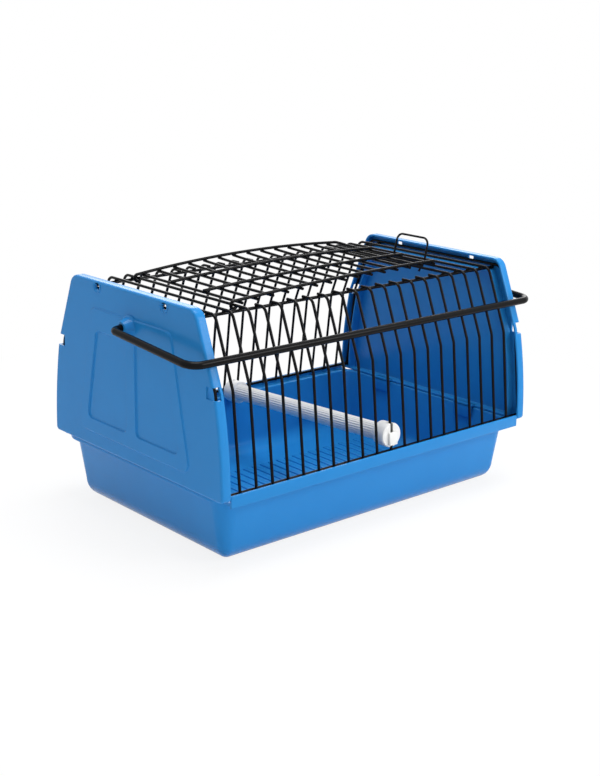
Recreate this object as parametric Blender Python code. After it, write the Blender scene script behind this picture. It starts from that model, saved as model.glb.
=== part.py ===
"""Small bird transport carrier: a plastic tray, two plastic end panels, a welded wire cage with a hinged
wire roof door, a wire carrying handle and a clip-on perch.

Metres, +Z up. X runs along the carrier, -Y is its front. The origin is under the centre of the tray.
"""
import math

import bmesh
import bpy
from mathutils import Matrix, Vector

OBJECT_NAME = "bird_transport_carrier"

# End panels
PANEL_SPAN = 0.285           # between the outer faces of the two panels
FOOT_WIDTH = 0.193           # panel width where it stands on the tray
SHOULDER_WIDTH = 0.1776      # panel width where the side turns inwards
CROWN_WIDTH = 0.1384         # panel width at the top edge, before the corners are rounded
LOWER_HEIGHT = 0.0683        # foot to shoulder
UPPER_HEIGHT = 0.0491        # shoulder to top edge
SIDE_BULGE = 0.0018          # how far the lower side bows out of a straight line
CROWN_RADIUS = 0.009
FOOT_RADIUS = 0.003
PANEL_WALL = 0.0016
FLANGE_DEPTH = 0.007         # turned-in edge, measured from the outer face
RIB_WALL = 0.0015            # rib that closes the wire channel behind the flange
RIB_DEPTH = 0.0038

# Relief on the panel's outer face
FIELD_RISE = 0.0009          # raised field round the two panes
FIELD_TOP_DROP = 0.0186      # from the panel's top edge
FIELD_FOOT_RISE = 0.0109     # from the panel's foot
FIELD_SIDE_MARGIN = 0.0315   # from the panel's side
FIELD_RADIUS = 0.006
PANE_SINK = 0.0012           # below the raised field
PANE_TOP_DROP = 0.0153       # from the field's top edge
PANE_FOOT_RISE = 0.0096
PANE_SIDE_MARGIN = 0.0092
PANE_RADIUS = 0.004
MULLION_WIDTH = 0.011

# Openings in the panel
SNAP_HOLE_WIDTH = 0.005
SNAP_HOLE_HEIGHT = 0.0036
SNAP_HOLE_OFFSET = 0.0377    # from the middle of the panel
SNAP_HOLE_DROP = 0.0038      # from the top edge to the middle of the hole
WINDOW_HEIGHT = 0.008        # window at each shoulder, through face and flange
WINDOW_DEPTH = 0.005
WINDOW_REACH = 0.0049        # from the panel's side inwards

# Tongues that hold a panel inside the tray
TONGUE_WIDTH = 0.018
TONGUE_WALL = 0.0016
TONGUE_DROP = 0.008
TONGUE_SPACING = 0.090
TONGUE_ROOT = 0.0023         # overlap of the tongue and the panel's foot

# Tray
TRAY_HEIGHT = 0.0482
TRAY_WALL = 0.0018
TRAY_END_STEP = 0.0065       # from the panel's outer face in to the tray wall
TRAY_SIDE_STEP = 0.0085      # from the panel's side in to the tray wall
TRAY_DRAFT = 0.0074          # lean of the wall over the whole height
TRAY_CORNER_RADIUS = 0.0135  # at the top of the wall
TRAY_CORNER_LEAST = 0.003    # where the corner is tightest, at the floor
TRAY_BOTTOM_RADIUS = 0.014
RIM_OVERHANG = 0.0045
RIM_THICKNESS = 0.003
LIP_HEIGHT = 0.0083          # raised band along the front and the back
LIP_WALL = 0.0016
LIP_RISE = 0.0041            # above the rim
LIP_ROOT = 0.0015            # overlap of the lip's shelf and the rim
FLOOR_RIB_PITCH = 0.0060     # low ribs across the floor
FLOOR_RIB_WIDTH = 0.0024
FLOOR_RIB_HEIGHT = 0.0008
FLOOR_RIB_MARGIN = 0.007     # from the edge of the flat floor
FLOOR_PLAIN_STRIP = 0.021    # floor without ribs along the back

# Cage wires
WIRE_DIAMETER = 0.002
WIRE_COUNT = 22
ROD_DIAMETER = 0.0022        # lengthwise rods
ROOF_SINK = 0.0026           # roof wires below their highest place in the panels' channel
ROD_SETBACK = 0.008          # from the roof's corner in to the top rod
STUB_LENGTH = 0.0013         # wire ends past the top rod at the door opening
ROD_FOOT_RISE = 0.0041       # bottom rod above the rim
HINGE_WIRE = 3               # the door hangs on this wire
LATCH_WIRE = 17              # the latch closes on this wire

# Roof door
DOOR_WIRE_OFFSET = 0.0053    # door wires sit this far along from the cage wires
DOOR_ROD_COUNT = 4
DOOR_MARGIN = 0.0066         # from the cage's top rod in to the door's outer rod, at the hinge
DOOR_TAPER = 0.0092          # the front rod comes in this far by the free end
DOOR_LIFT = 0.0028           # the free end stands this much higher than the hinge end
DOOR_NUB = 0.0024            # wire ends past the front rod
DOOR_BACK_NUB = 0.0016
DOOR_ROD_TIP = 0.0015        # rod ends past the last wire
DOOR_BOW_FRONT = 0.0016      # rise at mid length
DOOR_BOW_BACK = 0.0044
DOOR_CORNER_RADIUS = 0.006   # back rod turned into the last wire
HOOK_TURN_DEG = 240.0

# Door latch
LATCH_DIAMETER = 0.0016
LATCH_WIDTH = 0.0313
LATCH_CENTRE_Y = -0.0185
LATCH_HEIGHT = 0.0160        # above the door's last wire
LATCH_LEAN_DEG = 13.0
LATCH_CORNER_RADIUS = 0.005
LATCH_HOOK_REACH = 0.0078    # from the pivot to the tip of the hook
LATCH_SEAT_DEG = (-100.0, 5.0)  # part of the door's last wire that the latch bends round

# Carrying handle
HANDLE_DIAMETER = 0.005
HANDLE_REST_DEG = 4.3        # arms below level when the bar lies against the panels
HANDLE_CORNER_RADIUS = 0.009
HANDLE_END_RADIUS = 0.005
PIVOT_DROP = 0.0239          # from the panel's top edge
BOSS_HEIGHT = 0.007
BOSS_FOOT_DIAMETER = 0.0135
BOSS_TIP_DIAMETER = 0.0095
ARM_GAP = 0.0042             # boss to arm

# Perch
PERCH_WIRE = 11
PERCH_DIAMETER = 0.012
PERCH_FLUTES = 14
PERCH_FLUTE_DEPTH = 0.0005
PERCH_DROOP_DEG = 2.8        # clipped on at the front only, the perch hangs down to the back
CAP_DIAMETER = 0.017
CAP_LENGTH = 0.0125
CAP_NOSE = 0.0032            # cap in front of the wire
CAP_SOCKET_DEPTH = 0.004
CAP_TONGUE_TOP = 0.0035      # tongue that covers the wire, above and below the middle
CAP_TONGUE_FOOT = 0.0058

# Clearances
SEAT_GAP = 0.0003            # between pieces that touch
WELD_DEPTH = 0.0003          # wires sunk into the rods they are welded to
PIVOT_GAP = 0.0003
PERCH_END_GAP = 0.0015       # back end of the perch to the tray wall
LIP_END_GAP = 0.0004
OVERCUT = 0.001              # cutters run this far past what they cut
JOIN_DEPTH = 0.0008          # joined shapes run this far into each other
JOIN_STEP = 0.0002           # and stay this far inside each other's faces
MERGE_DISTANCE = 0.000001

# Heights and places that follow from the sizes above
FACE_X = PANEL_SPAN / 2
FOOT_Z = TRAY_HEIGHT + SEAT_GAP
SHOULDER_Z = FOOT_Z + LOWER_HEIGHT
CROWN_Z = SHOULDER_Z + UPPER_HEIGHT
WIRE_R = WIRE_DIAMETER / 2
ROD_R = ROD_DIAMETER / 2
HOOP_INSET = PANEL_WALL + SEAT_GAP + WIRE_R
ROD_INSET = HOOP_INSET + WIRE_R + ROD_R + SEAT_GAP
LEG_INSET = ROD_INSET - WIRE_R - ROD_R + WELD_DEPTH
RIB_INSET = ROD_INSET + ROOF_SINK + ROD_R + SEAT_GAP
WIRE_FOOT_Z = FOOT_Z + PANEL_WALL + SEAT_GAP
END_WIRE_X = FACE_X - PANEL_WALL - 2 * SEAT_GAP - WIRE_R
WIRE_PITCH = 2 * END_WIRE_X / (WIRE_COUNT - 1)
ROD_END_X = FACE_X - PANEL_WALL - SEAT_GAP
HOOP_ROOF_Z = CROWN_Z - HOOP_INSET - ROOF_SINK
ROD_FOOT_Z = TRAY_HEIGHT + ROD_FOOT_RISE
PIVOT_Z = CROWN_Z - PIVOT_DROP

# Facets
WIRE_RESOLUTION = 1
HANDLE_RESOLUTION = 3
BEND_STEPS = 3
HOOK_STEPS = 8
BOW_STEPS = 6
TRAY_CORNER_STEPS = 5
ROUND_STEPS = 24
SMOOTH_LIMIT_DEG = 40.0

# Colours
BLUE = (0.045, 0.23, 0.56)
BLUE_ROUGHNESS = 0.32
BLACK = (0.012, 0.012, 0.013)
BLACK_ROUGHNESS = 0.38
WHITE = (0.80, 0.80, 0.79)
WHITE_ROUGHNESS = 0.45


def wire_x(index):
    """Place of a cage wire along the carrier."""
    return -END_WIRE_X + index * WIRE_PITCH


# Outlines

def crossing(p, p_dir, q, q_dir):
    """Point where the line through p along p_dir meets the line through q along q_dir."""
    det = p_dir[0] * q_dir[1] - p_dir[1] * q_dir[0]
    t = ((q[0] - p[0]) * q_dir[1] - (q[1] - p[1]) * q_dir[0]) / det
    return (p[0] + t * p_dir[0], p[1] + t * p_dir[1])


def side_lines(inset):
    """Lower and upper side of the back half, each as a point and a direction, moved in by inset."""
    corners = [(FOOT_WIDTH / 2, FOOT_Z), (SHOULDER_WIDTH / 2, SHOULDER_Z), (CROWN_WIDTH / 2, CROWN_Z)]
    lines = []
    for low, high in zip(corners, corners[1:]):
        run = Vector(high) - Vector(low)
        run.normalize()
        inward = Vector((-run.y, run.x))
        lines.append((Vector(low) + inward * inset, run))
    return lines


def side_corners(inset, foot_z, sink=0.0):
    """Foot, shoulder and crown of the back half, moved in by inset. The crown lies lower by sink."""
    lower, upper = side_lines(inset)
    level = Vector((1.0, 0.0))
    foot = crossing(*lower, (0.0, foot_z), level)
    shoulder = crossing(*lower, *upper)
    crown = crossing(*upper, (0.0, CROWN_Z - inset - sink), level)
    return foot, shoulder, crown


def slerp(first, last, t):
    """Unit spoke between two spokes, at an even angle."""
    angle = first.angle(last)
    mixed = first.normalized() * math.sin((1 - t) * angle) + last.normalized() * math.sin(t * angle)
    return mixed.normalized()


def rounded_path(corners, radii, steps):
    """Corners with the given radii, as a list of points. A radius of 0 leaves the corner sharp."""
    corners = [Vector(c) for c in corners]
    points = []
    for i, (corner, radius) in enumerate(zip(corners, radii)):
        if radius == 0.0:
            points.append(corner)
            continue
        back = (corners[i - 1] - corner).normalized()
        ahead = (corners[(i + 1) % len(corners)] - corner).normalized()
        half = back.angle(ahead) / 2
        centre = corner + (back + ahead).normalized() * (radius / math.sin(half))
        first = corner + back * (radius / math.tan(half)) - centre
        last = corner + ahead * (radius / math.tan(half)) - centre
        for k in range(steps + 1):
            points.append(centre + slerp(first, last, k / steps) * radius)
    return points


def mirrored(points):
    """Back half and its mirror image, joined at the crown."""
    return list(points) + [(-y, z) for y, z in reversed(points)]


def panel_outline(inset=0.0):
    """Closed outline of an end panel in Y and Z, moved in by inset."""
    foot, shoulder, crown = side_corners(inset, FOOT_Z + inset)
    lower = []
    for k in range(BOW_STEPS + 1):
        t = k / BOW_STEPS
        bow = 4 * SIDE_BULGE * t * (1 - t)
        y, z = Vector(foot).lerp(Vector(shoulder), t)
        lower.append((y + bow, z))
    half = lower + [crown]
    outline = mirrored(half)
    radii = [0.0] * len(outline)
    for k in (len(half) - 1, len(half)):
        radii[k] = max(CROWN_RADIUS - inset, SEAT_GAP)
    for k in (0, len(outline) - 1):
        radii[k] = max(FOOT_RADIUS - inset, 0.0)
    return rounded_path(outline, radii, BEND_STEPS + 1)


def panel_half_width(z):
    """Half width of the panel's straight sided outline at height z."""
    lower, upper = side_lines(0.0)
    side = lower if z < SHOULDER_Z else upper
    return crossing(*side, (0.0, z), (1.0, 0.0))[0]


def field_outline():
    """Raised field on the panel's face."""
    top_z = CROWN_Z - FIELD_TOP_DROP
    foot_z = FOOT_Z + FIELD_FOOT_RISE
    top = panel_half_width(top_z) - FIELD_SIDE_MARGIN
    foot = panel_half_width(foot_z) - FIELD_SIDE_MARGIN
    corners = [(foot, foot_z), (top, top_z), (-top, top_z), (-foot, foot_z)]
    return corners, rounded_path(corners, [FIELD_RADIUS] * 4, BEND_STEPS)


def pane_outline(side):
    """One of the two sunk panes, on the side given as 1 or -1."""
    (foot, foot_z), (top, top_z) = field_outline()[0][:2]
    pane_top_z = top_z - PANE_TOP_DROP
    pane_foot_z = foot_z + PANE_FOOT_RISE
    lean = (foot - top) / (top_z - foot_z)
    pane_top = top + lean * PANE_TOP_DROP - PANE_SIDE_MARGIN
    pane_foot = foot - lean * PANE_FOOT_RISE - PANE_SIDE_MARGIN
    inner = MULLION_WIDTH / 2
    corners = [(inner, pane_foot_z), (pane_foot, pane_foot_z),
               (pane_top, pane_top_z), (inner, pane_top_z)]
    corners = [(side * y, z) for y, z in corners]
    return rounded_path(corners, [PANE_RADIUS] * 4, BEND_STEPS)


# Blender helpers

def clear_scene():
    for old in list(bpy.data.objects):
        bpy.data.objects.remove(old, do_unlink=True)


def new_collection(name):
    collection = bpy.data.collections.new(name)
    bpy.context.scene.collection.children.link(collection)
    return collection


def new_material(name, colour, roughness):
    material = bpy.data.materials.new(name)
    material.use_nodes = True
    shader = material.node_tree.nodes["Principled BSDF"]
    shader.inputs["Base Color"].default_value = (*colour, 1.0)
    shader.inputs["Roughness"].default_value = roughness
    return material


def add_mesh(name, mesh, collection):
    obj = bpy.data.objects.new(name, mesh)
    collection.objects.link(obj)
    return obj


def add_bmesh(name, bm, collection):
    mesh = bpy.data.meshes.new(name)
    bm.to_mesh(mesh)
    bm.free()
    return add_mesh(name, mesh, collection)


def mesh_from_curve(curve_object, collection):
    """Mesh object with the curve's shape, its caps welded on. The curve is removed."""
    name = curve_object.name
    bpy.context.view_layer.update()
    depsgraph = bpy.context.evaluated_depsgraph_get()
    mesh = bpy.data.meshes.new_from_object(curve_object.evaluated_get(depsgraph))
    bm = bmesh.new()
    bm.from_mesh(mesh)
    bmesh.ops.remove_doubles(bm, verts=bm.verts, dist=MERGE_DISTANCE)
    bmesh.ops.recalc_face_normals(bm, faces=bm.faces)
    bm.to_mesh(mesh)
    bm.free()
    matrix = curve_object.matrix_world.copy()
    bpy.data.objects.remove(curve_object, do_unlink=True)
    obj = add_mesh(name, mesh, collection)
    obj.matrix_world = matrix
    return obj


def add_splines(curve, paths, cyclic):
    for path in paths:
        spline = curve.splines.new("POLY")
        spline.points.add(len(path) - 1)
        for point, place in zip(spline.points, path):
            point.co = (*place, 1.0) if len(place) == 3 else (*place, 0.0, 1.0)
        spline.use_cyclic_u = cyclic


def tubes(name, paths, diameter, resolution, collection):
    """Round wire along each path, as one mesh."""
    curve = bpy.data.curves.new(name, "CURVE")
    curve.dimensions = "3D"
    curve.bevel_depth = diameter / 2
    curve.bevel_resolution = resolution
    curve.use_fill_caps = True
    curve.twist_mode = "MINIMUM"
    add_splines(curve, paths, cyclic=False)
    obj = bpy.data.objects.new(name, curve)
    collection.objects.link(obj)
    return mesh_from_curve(obj, collection)


def prism(name, outlines, x_start, x_end, collection):
    """Outlines in Y and Z, filled between each other and drawn out along X."""
    curve = bpy.data.curves.new(name, "CURVE")
    curve.dimensions = "2D"
    curve.fill_mode = "BOTH"
    curve.extrude = abs(x_end - x_start) / 2
    add_splines(curve, outlines, cyclic=True)
    obj = bpy.data.objects.new(name, curve)
    collection.objects.link(obj)
    turn = Matrix(((0, 0, 1), (1, 0, 0), (0, 1, 0))).to_4x4()
    obj.matrix_world = Matrix.Translation(((x_start + x_end) / 2, 0, 0)) @ turn
    return mesh_from_curve(obj, collection)


def add_block(bm, low, high):
    """Box between two corners."""
    corners = bmesh.ops.create_cube(bm, size=1.0)["verts"]
    bmesh.ops.scale(bm, vec=[b - a for a, b in zip(low, high)], verts=corners)
    bmesh.ops.translate(bm, vec=[(a + b) / 2 for a, b in zip(low, high)], verts=corners)


def box(name, low, high, collection, turn=None, pivot=(0.0, 0.0, 0.0)):
    """Box object between two corners, turned about pivot if a rotation is given."""
    bm = bmesh.new()
    add_block(bm, low, high)
    if turn is not None:
        bmesh.ops.rotate(bm, cent=pivot, matrix=turn, verts=bm.verts)
    return add_bmesh(name, bm, collection)


def turned(name, start_diameter, end_diameter, start, end, collection, steps=ROUND_STEPS):
    """Cylinder or cone from start to end."""
    start = Vector(start)
    axis = Vector(end) - start
    bm = bmesh.new()
    bmesh.ops.create_cone(bm, cap_ends=True, segments=steps, radius1=start_diameter / 2,
                          radius2=end_diameter / 2, depth=axis.length)
    turn = axis.to_track_quat("Z", "Y").to_matrix()
    bmesh.ops.rotate(bm, cent=(0, 0, 0), matrix=turn, verts=bm.verts)
    bmesh.ops.translate(bm, vec=start + axis / 2, verts=bm.verts)
    return add_bmesh(name, bm, collection)


def combine(obj, tool, operation):
    """Boolean with a helper object, which stays hidden."""
    tool.hide_render = True
    tool.display_type = "WIRE"
    modifier = obj.modifiers.new(tool.name, "BOOLEAN")
    modifier.operation = operation
    modifier.solver = "EXACT"
    modifier.object = tool


def finish(obj, material, smooth=False):
    obj.data.materials.clear()
    obj.data.materials.append(material)
    if smooth:
        obj.data.shade_smooth()
        obj.data.set_sharp_from_angle(angle=math.radians(SMOOTH_LIMIT_DEG))


# Tray

def rounded_ring(bm, offset, z):
    """Ring of vertices: the tray's plan, grown by offset, at height z."""
    half_x = FACE_X - TRAY_END_STEP + offset
    half_y = FOOT_WIDTH / 2 - TRAY_SIDE_STEP + offset
    radius = max(TRAY_CORNER_RADIUS + offset, TRAY_CORNER_LEAST)
    corners = [(half_x, -half_y), (half_x, half_y), (-half_x, half_y), (-half_x, -half_y)]
    plan = rounded_path(corners, [radius] * 4, TRAY_CORNER_STEPS)
    return [bm.verts.new((x, y, z)) for x, y in plan]


TRAY_LEAN = TRAY_DRAFT / TRAY_HEIGHT
FLOOR_OFFSET = TRAY_LEAN * TRAY_BOTTOM_RADIUS - TRAY_DRAFT - TRAY_BOTTOM_RADIUS  # to the flat floor


def bottom_bend(radius):
    """Quarter bend between the floor and the wall, as offsets and heights."""
    points = []
    for k in range(BEND_STEPS + 1):
        angle = math.pi / 2 * (k / BEND_STEPS - 1)
        offset = FLOOR_OFFSET + radius * math.cos(angle)
        points.append((offset, TRAY_BOTTOM_RADIUS + radius * math.sin(angle)))
    return points


def tray_profile():
    """Offset from the wall's top edge and height, from the outer bottom over the rim to the floor."""
    rim_z = TRAY_HEIGHT - RIM_THICKNESS
    outer = bottom_bend(TRAY_BOTTOM_RADIUS)
    inner = bottom_bend(TRAY_BOTTOM_RADIUS - TRAY_WALL)
    rim = [(-TRAY_LEAN * RIM_THICKNESS, rim_z), (RIM_OVERHANG, rim_z), (RIM_OVERHANG, TRAY_HEIGHT)]
    return outer + rim + [(-TRAY_WALL, TRAY_HEIGHT)] + inner[::-1]


def lip_line():
    """Inner and outer face of the raised lip, from the middle of the carrier."""
    foot = side_corners(HOOP_INSET, WIRE_FOOT_Z)[0]
    inner = foot[0] + WIRE_R + SEAT_GAP
    return inner, inner + LIP_WALL


def floor_ribs(tools):
    """Low ribs on the tray's floor, each running from front to back."""
    half_x = FACE_X - TRAY_END_STEP + FLOOR_OFFSET - FLOOR_RIB_MARGIN
    half_y = FOOT_WIDTH / 2 - TRAY_SIDE_STEP + FLOOR_OFFSET
    each_side = int((half_x - FLOOR_RIB_WIDTH / 2) / FLOOR_RIB_PITCH)
    bm = bmesh.new()
    for k in range(-each_side, each_side + 1):
        x = k * FLOOR_RIB_PITCH
        low = (x - FLOOR_RIB_WIDTH / 2, FLOOR_RIB_MARGIN - half_y, TRAY_WALL - JOIN_DEPTH)
        high = (x + FLOOR_RIB_WIDTH / 2, half_y - FLOOR_PLAIN_STRIP, TRAY_WALL + FLOOR_RIB_HEIGHT)
        add_block(bm, low, high)
    return add_bmesh("floor_ribs", bm, tools)


def make_tray(parts, tools, material):
    bm = bmesh.new()
    rings = [rounded_ring(bm, offset, z) for offset, z in tray_profile()]
    for low, high in zip(rings, rings[1:]):
        for k in range(len(low)):
            n = (k + 1) % len(low)
            bm.faces.new((low[k], low[n], high[n], high[k]))
    bm.faces.new(rings[0][::-1])
    bm.faces.new(rings[-1])
    bmesh.ops.recalc_face_normals(bm, faces=bm.faces)
    tray = add_bmesh("tray", bm, parts)

    inner, outer = lip_line()
    root = FOOT_WIDTH / 2 - TRAY_SIDE_STEP + RIM_OVERHANG - LIP_ROOT
    top_z = TRAY_HEIGHT + LIP_RISE
    shelf_low = TRAY_HEIGHT - RIM_THICKNESS + JOIN_STEP
    shelf_high = TRAY_HEIGHT - JOIN_STEP
    profile = [(outer, top_z - LIP_HEIGHT), (outer, top_z), (inner, top_z), (inner, shelf_high),
               (root, shelf_high), (root, shelf_low), (inner, shelf_low), (inner, top_z - LIP_HEIGHT)]
    end = FACE_X - FLANGE_DEPTH - LIP_END_GAP
    for side, name in ((-1, "lip_front"), (1, "lip_back")):
        outline = [(side * y, z) for y, z in profile]
        combine(tray, prism(name, [outline], -end, end, tools), "UNION")
    combine(tray, floor_ribs(tools), "UNION")
    finish(tray, material, smooth=True)


# End panels

def make_panel(name, side, parts, tools, material):
    """End panel with its outer face at side times FACE_X."""
    def at(depth):
        return side * (FACE_X - depth)

    panel = prism(name, [panel_outline()], at(0.0), at(FLANGE_DEPTH), parts)
    root = at(PANEL_WALL - JOIN_DEPTH)
    pocket = prism(name + "_pocket", [panel_outline(PANEL_WALL)], at(PANEL_WALL),
                   at(FLANGE_DEPTH + OVERCUT), tools)
    combine(panel, pocket, "DIFFERENCE")

    rib_rings = [panel_outline(RIB_INSET), panel_outline(RIB_INSET + RIB_WALL)]
    combine(panel, prism(name + "_rib", rib_rings, root, at(PANEL_WALL + RIB_DEPTH), tools), "UNION")

    field = prism(name + "_field", [field_outline()[1]], root, at(-FIELD_RISE), tools)
    combine(panel, field, "UNION")
    for pane in (-1, 1):
        sunk = prism(f"{name}_pane_{pane}", [pane_outline(pane)], at(PANE_SINK - FIELD_RISE),
                     at(-FIELD_RISE - OVERCUT), tools)
        combine(panel, sunk, "DIFFERENCE")

    boss = turned(name + "_boss", BOSS_FOOT_DIAMETER, BOSS_TIP_DIAMETER, (root, 0, PIVOT_Z),
                  (at(-BOSS_HEIGHT), 0, PIVOT_Z), tools)
    combine(panel, boss, "UNION")
    bore = (HANDLE_DIAMETER + 2 * PIVOT_GAP) / math.cos(math.pi / ROUND_STEPS)
    hole = turned(name + "_bore", bore, bore, (at(PIVOT_GAP), 0, PIVOT_Z),
                  (at(-BOSS_HEIGHT - OVERCUT), 0, PIVOT_Z), tools)
    combine(panel, hole, "DIFFERENCE")

    faces = sorted((at(-OVERCUT), at(PANEL_WALL + OVERCUT)))
    hole_z = CROWN_Z - SNAP_HOLE_DROP
    for end in (-1, 1):
        y = end * SNAP_HOLE_OFFSET
        low = (faces[0], y - SNAP_HOLE_WIDTH / 2, hole_z - SNAP_HOLE_HEIGHT / 2)
        high = (faces[1], y + SNAP_HOLE_WIDTH / 2, hole_z + SNAP_HOLE_HEIGHT / 2)
        combine(panel, box(f"{name}_snap_{end}", low, high, tools), "DIFFERENCE")

    window_x = sorted((at(-OVERCUT), at(WINDOW_DEPTH)))
    inner = panel_half_width(SHOULDER_Z + WINDOW_HEIGHT) - WINDOW_REACH
    outer = SHOULDER_WIDTH / 2 + HOOP_INSET
    for end in (-1, 1):
        across = sorted((end * inner, end * outer))
        low = (window_x[0], across[0], SHOULDER_Z - WINDOW_HEIGHT / 2)
        high = (window_x[1], across[1], SHOULDER_Z + WINDOW_HEIGHT / 2)
        combine(panel, box(f"{name}_window_{end}", low, high, tools), "DIFFERENCE")

    add_tongues(panel, side, tools)
    finish(panel, material)


def add_tongues(panel, side, tools):
    """Two tongues under the panel's foot, which stand inside the tray's end wall."""
    tip_z = TRAY_HEIGHT - TONGUE_DROP
    wall_x = FACE_X - TRAY_END_STEP - TRAY_WALL - TRAY_DRAFT * TONGUE_DROP / TRAY_HEIGHT
    outer = wall_x - SEAT_GAP
    inner = outer - TONGUE_WALL
    root = FACE_X - FLANGE_DEPTH + TONGUE_ROOT
    top_z = FOOT_Z + PANEL_WALL - JOIN_STEP
    sill_z = FOOT_Z + JOIN_STEP
    profile = [(inner, tip_z), (outer, tip_z), (outer, sill_z),
               (root, sill_z), (root, top_z), (inner, top_z)]
    for end in (-1, 1):
        y = end * TONGUE_SPACING / 2
        bm = bmesh.new()
        face = bm.faces.new([bm.verts.new((side * x, y - TONGUE_WIDTH / 2, z)) for x, z in profile])
        grown = bmesh.ops.extrude_face_region(bm, geom=[face])
        moved = [v for v in grown["geom"] if isinstance(v, bmesh.types.BMVert)]
        bmesh.ops.translate(bm, vec=(0, TONGUE_WIDTH, 0), verts=moved)
        bmesh.ops.recalc_face_normals(bm, faces=bm.faces)
        combine(panel, add_bmesh(f"{panel.name}_tongue_{end}", bm, tools), "UNION")


# Wire cage

def standing(points, x):
    """Points in Y and Z, set up at x."""
    return [(x, y, z) for y, z in points]


def leg_path(x, side):
    """Cage wire from its foot to the stub over the top rod, on the side given as 1 or -1."""
    foot, shoulder, crown = side_corners(LEG_INSET, WIRE_FOOT_Z, ROOF_SINK)
    bend = CROWN_RADIUS - LEG_INSET
    stub = (rod_places()[0][0] - STUB_LENGTH, crown[1])
    points = rounded_path([foot, shoulder, crown, stub], [0.0, 0.0, bend, 0.0], BEND_STEPS)
    return standing([(side * y, z) for y, z in points], x)


def hoop_path(x):
    """Cage wire from the front foot over the roof to the back foot."""
    corners = mirrored(side_corners(HOOP_INSET, WIRE_FOOT_Z, ROOF_SINK))
    bend = CROWN_RADIUS - HOOP_INSET
    return standing(rounded_path(corners, [0.0, 0.0, bend, bend, 0.0, 0.0], BEND_STEPS), x)


def rod_places():
    """Distance from the middle and height of the top rod and of the bottom rod."""
    crown = side_corners(LEG_INSET, WIRE_FOOT_Z, ROOF_SINK)[2]
    top = (crown[0] - ROD_SETBACK, CROWN_Z - ROD_INSET - ROOF_SINK)
    bottom = side_corners(ROD_INSET, ROD_FOOT_Z)[0]
    return top, bottom


def make_grille(name, side, parts, tools, material):
    indices = range(HINGE_WIRE + 1, LATCH_WIRE)
    legs = [leg_path(wire_x(i), side) for i in indices]
    grille = tubes(name, legs, WIRE_DIAMETER, WIRE_RESOLUTION, parts)
    rods = [[(-ROD_END_X, side * y, z), (ROD_END_X, side * y, z)] for y, z in rod_places()]
    combine(grille, tubes(name + "_rods", rods, ROD_DIAMETER, WIRE_RESOLUTION, tools), "UNION")
    finish(grille, material)


def make_hoops(parts, material):
    for i in [*range(HINGE_WIRE + 1), *range(LATCH_WIRE, WIRE_COUNT)]:
        path = hoop_path(wire_x(i))
        hoop = tubes(f"hoop_wire_{i:02d}", [path], WIRE_DIAMETER, WIRE_RESOLUTION, parts)
        finish(hoop, material)


# Roof door

DOOR_HINGE_X = wire_x(HINGE_WIRE)
DOOR_END_X = wire_x(LATCH_WIRE) + DOOR_WIRE_OFFSET
DOOR_ROD_Z = HOOP_ROOF_Z + WIRE_R + ROD_R + SEAT_GAP
DOOR_WIRE_Z = DOOR_ROD_Z - WIRE_R - ROD_R + WELD_DEPTH
LATCH_Z = DOOR_WIRE_Z + DOOR_LIFT


def door_along(x):
    """Place along the door, 0 at the hinge and 1 at the free end."""
    return (x - DOOR_HINGE_X) / (DOOR_END_X - DOOR_HINGE_X)


def door_rod_lines(x):
    """Distances of the door's rods from the middle at x, front to back."""
    back = rod_places()[0][0] - DOOR_MARGIN
    front = DOOR_TAPER * door_along(x) - back
    return [front + (back - front) * k / (DOOR_ROD_COUNT - 1) for k in range(DOOR_ROD_COUNT)]


def door_rise(x, y):
    """Height over the hinge end: the lift of the free end and a bow, which is strongest at the back."""
    lines = door_rod_lines(x)
    share = max(0.0, (y - lines[0]) / (lines[-1] - lines[0]))
    bow = DOOR_BOW_FRONT + (DOOR_BOW_BACK - DOOR_BOW_FRONT) * share ** 2
    along = door_along(x)
    return DOOR_LIFT * along + 4 * bow * along * (1 - along)


def hinge_curl(y):
    """Tip of a rod, curled round the hinge wire."""
    curl = WIRE_R + ROD_R + SEAT_GAP
    points = []
    for k in range(HOOK_STEPS, 0, -1):
        angle = math.pi / 2 + math.radians(HOOK_TURN_DEG) * k / HOOK_STEPS
        points.append((DOOR_HINGE_X + curl * math.cos(angle), y, HOOP_ROOF_Z + curl * math.sin(angle)))
    return points


def corner_turn(y):
    """End of the back rod, turned forwards and down into the door's last wire."""
    points = []
    for k in range(1, BEND_STEPS + 1):
        angle = math.pi / 2 * k / BEND_STEPS
        x = DOOR_END_X - DOOR_CORNER_RADIUS * (1 - math.sin(angle))
        drop = (DOOR_ROD_Z - DOOR_WIRE_Z) * k / BEND_STEPS
        z = DOOR_ROD_Z - drop + door_rise(x, y)
        points.append((x, y - DOOR_CORNER_RADIUS * (1 - math.cos(angle)), z))
    points.append((DOOR_END_X, y - DOOR_CORNER_RADIUS - ROD_DIAMETER, LATCH_Z))
    return points


def door_rod_path(index):
    """Lengthwise rod of the door. The outer rods hang on the hinge wire, the back one ends in a corner."""
    cornered = index == DOOR_ROD_COUNT - 1
    hooked = cornered or index == 0
    start = DOOR_HINGE_X if hooked else DOOR_HINGE_X + DOOR_WIRE_OFFSET - ROD_DIAMETER
    stop = DOOR_END_X - DOOR_CORNER_RADIUS if cornered else DOOR_END_X + DOOR_ROD_TIP
    steps = (LATCH_WIRE - HINGE_WIRE) // 2 + 1
    points = hinge_curl(door_rod_lines(DOOR_HINGE_X)[index]) if hooked else []
    for k in range(steps + 1):
        x = start + (stop - start) * k / steps
        y = door_rod_lines(x)[index]
        points.append((x, y, DOOR_ROD_Z + door_rise(x, y)))
    return points + corner_turn(y) if cornered else points


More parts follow.
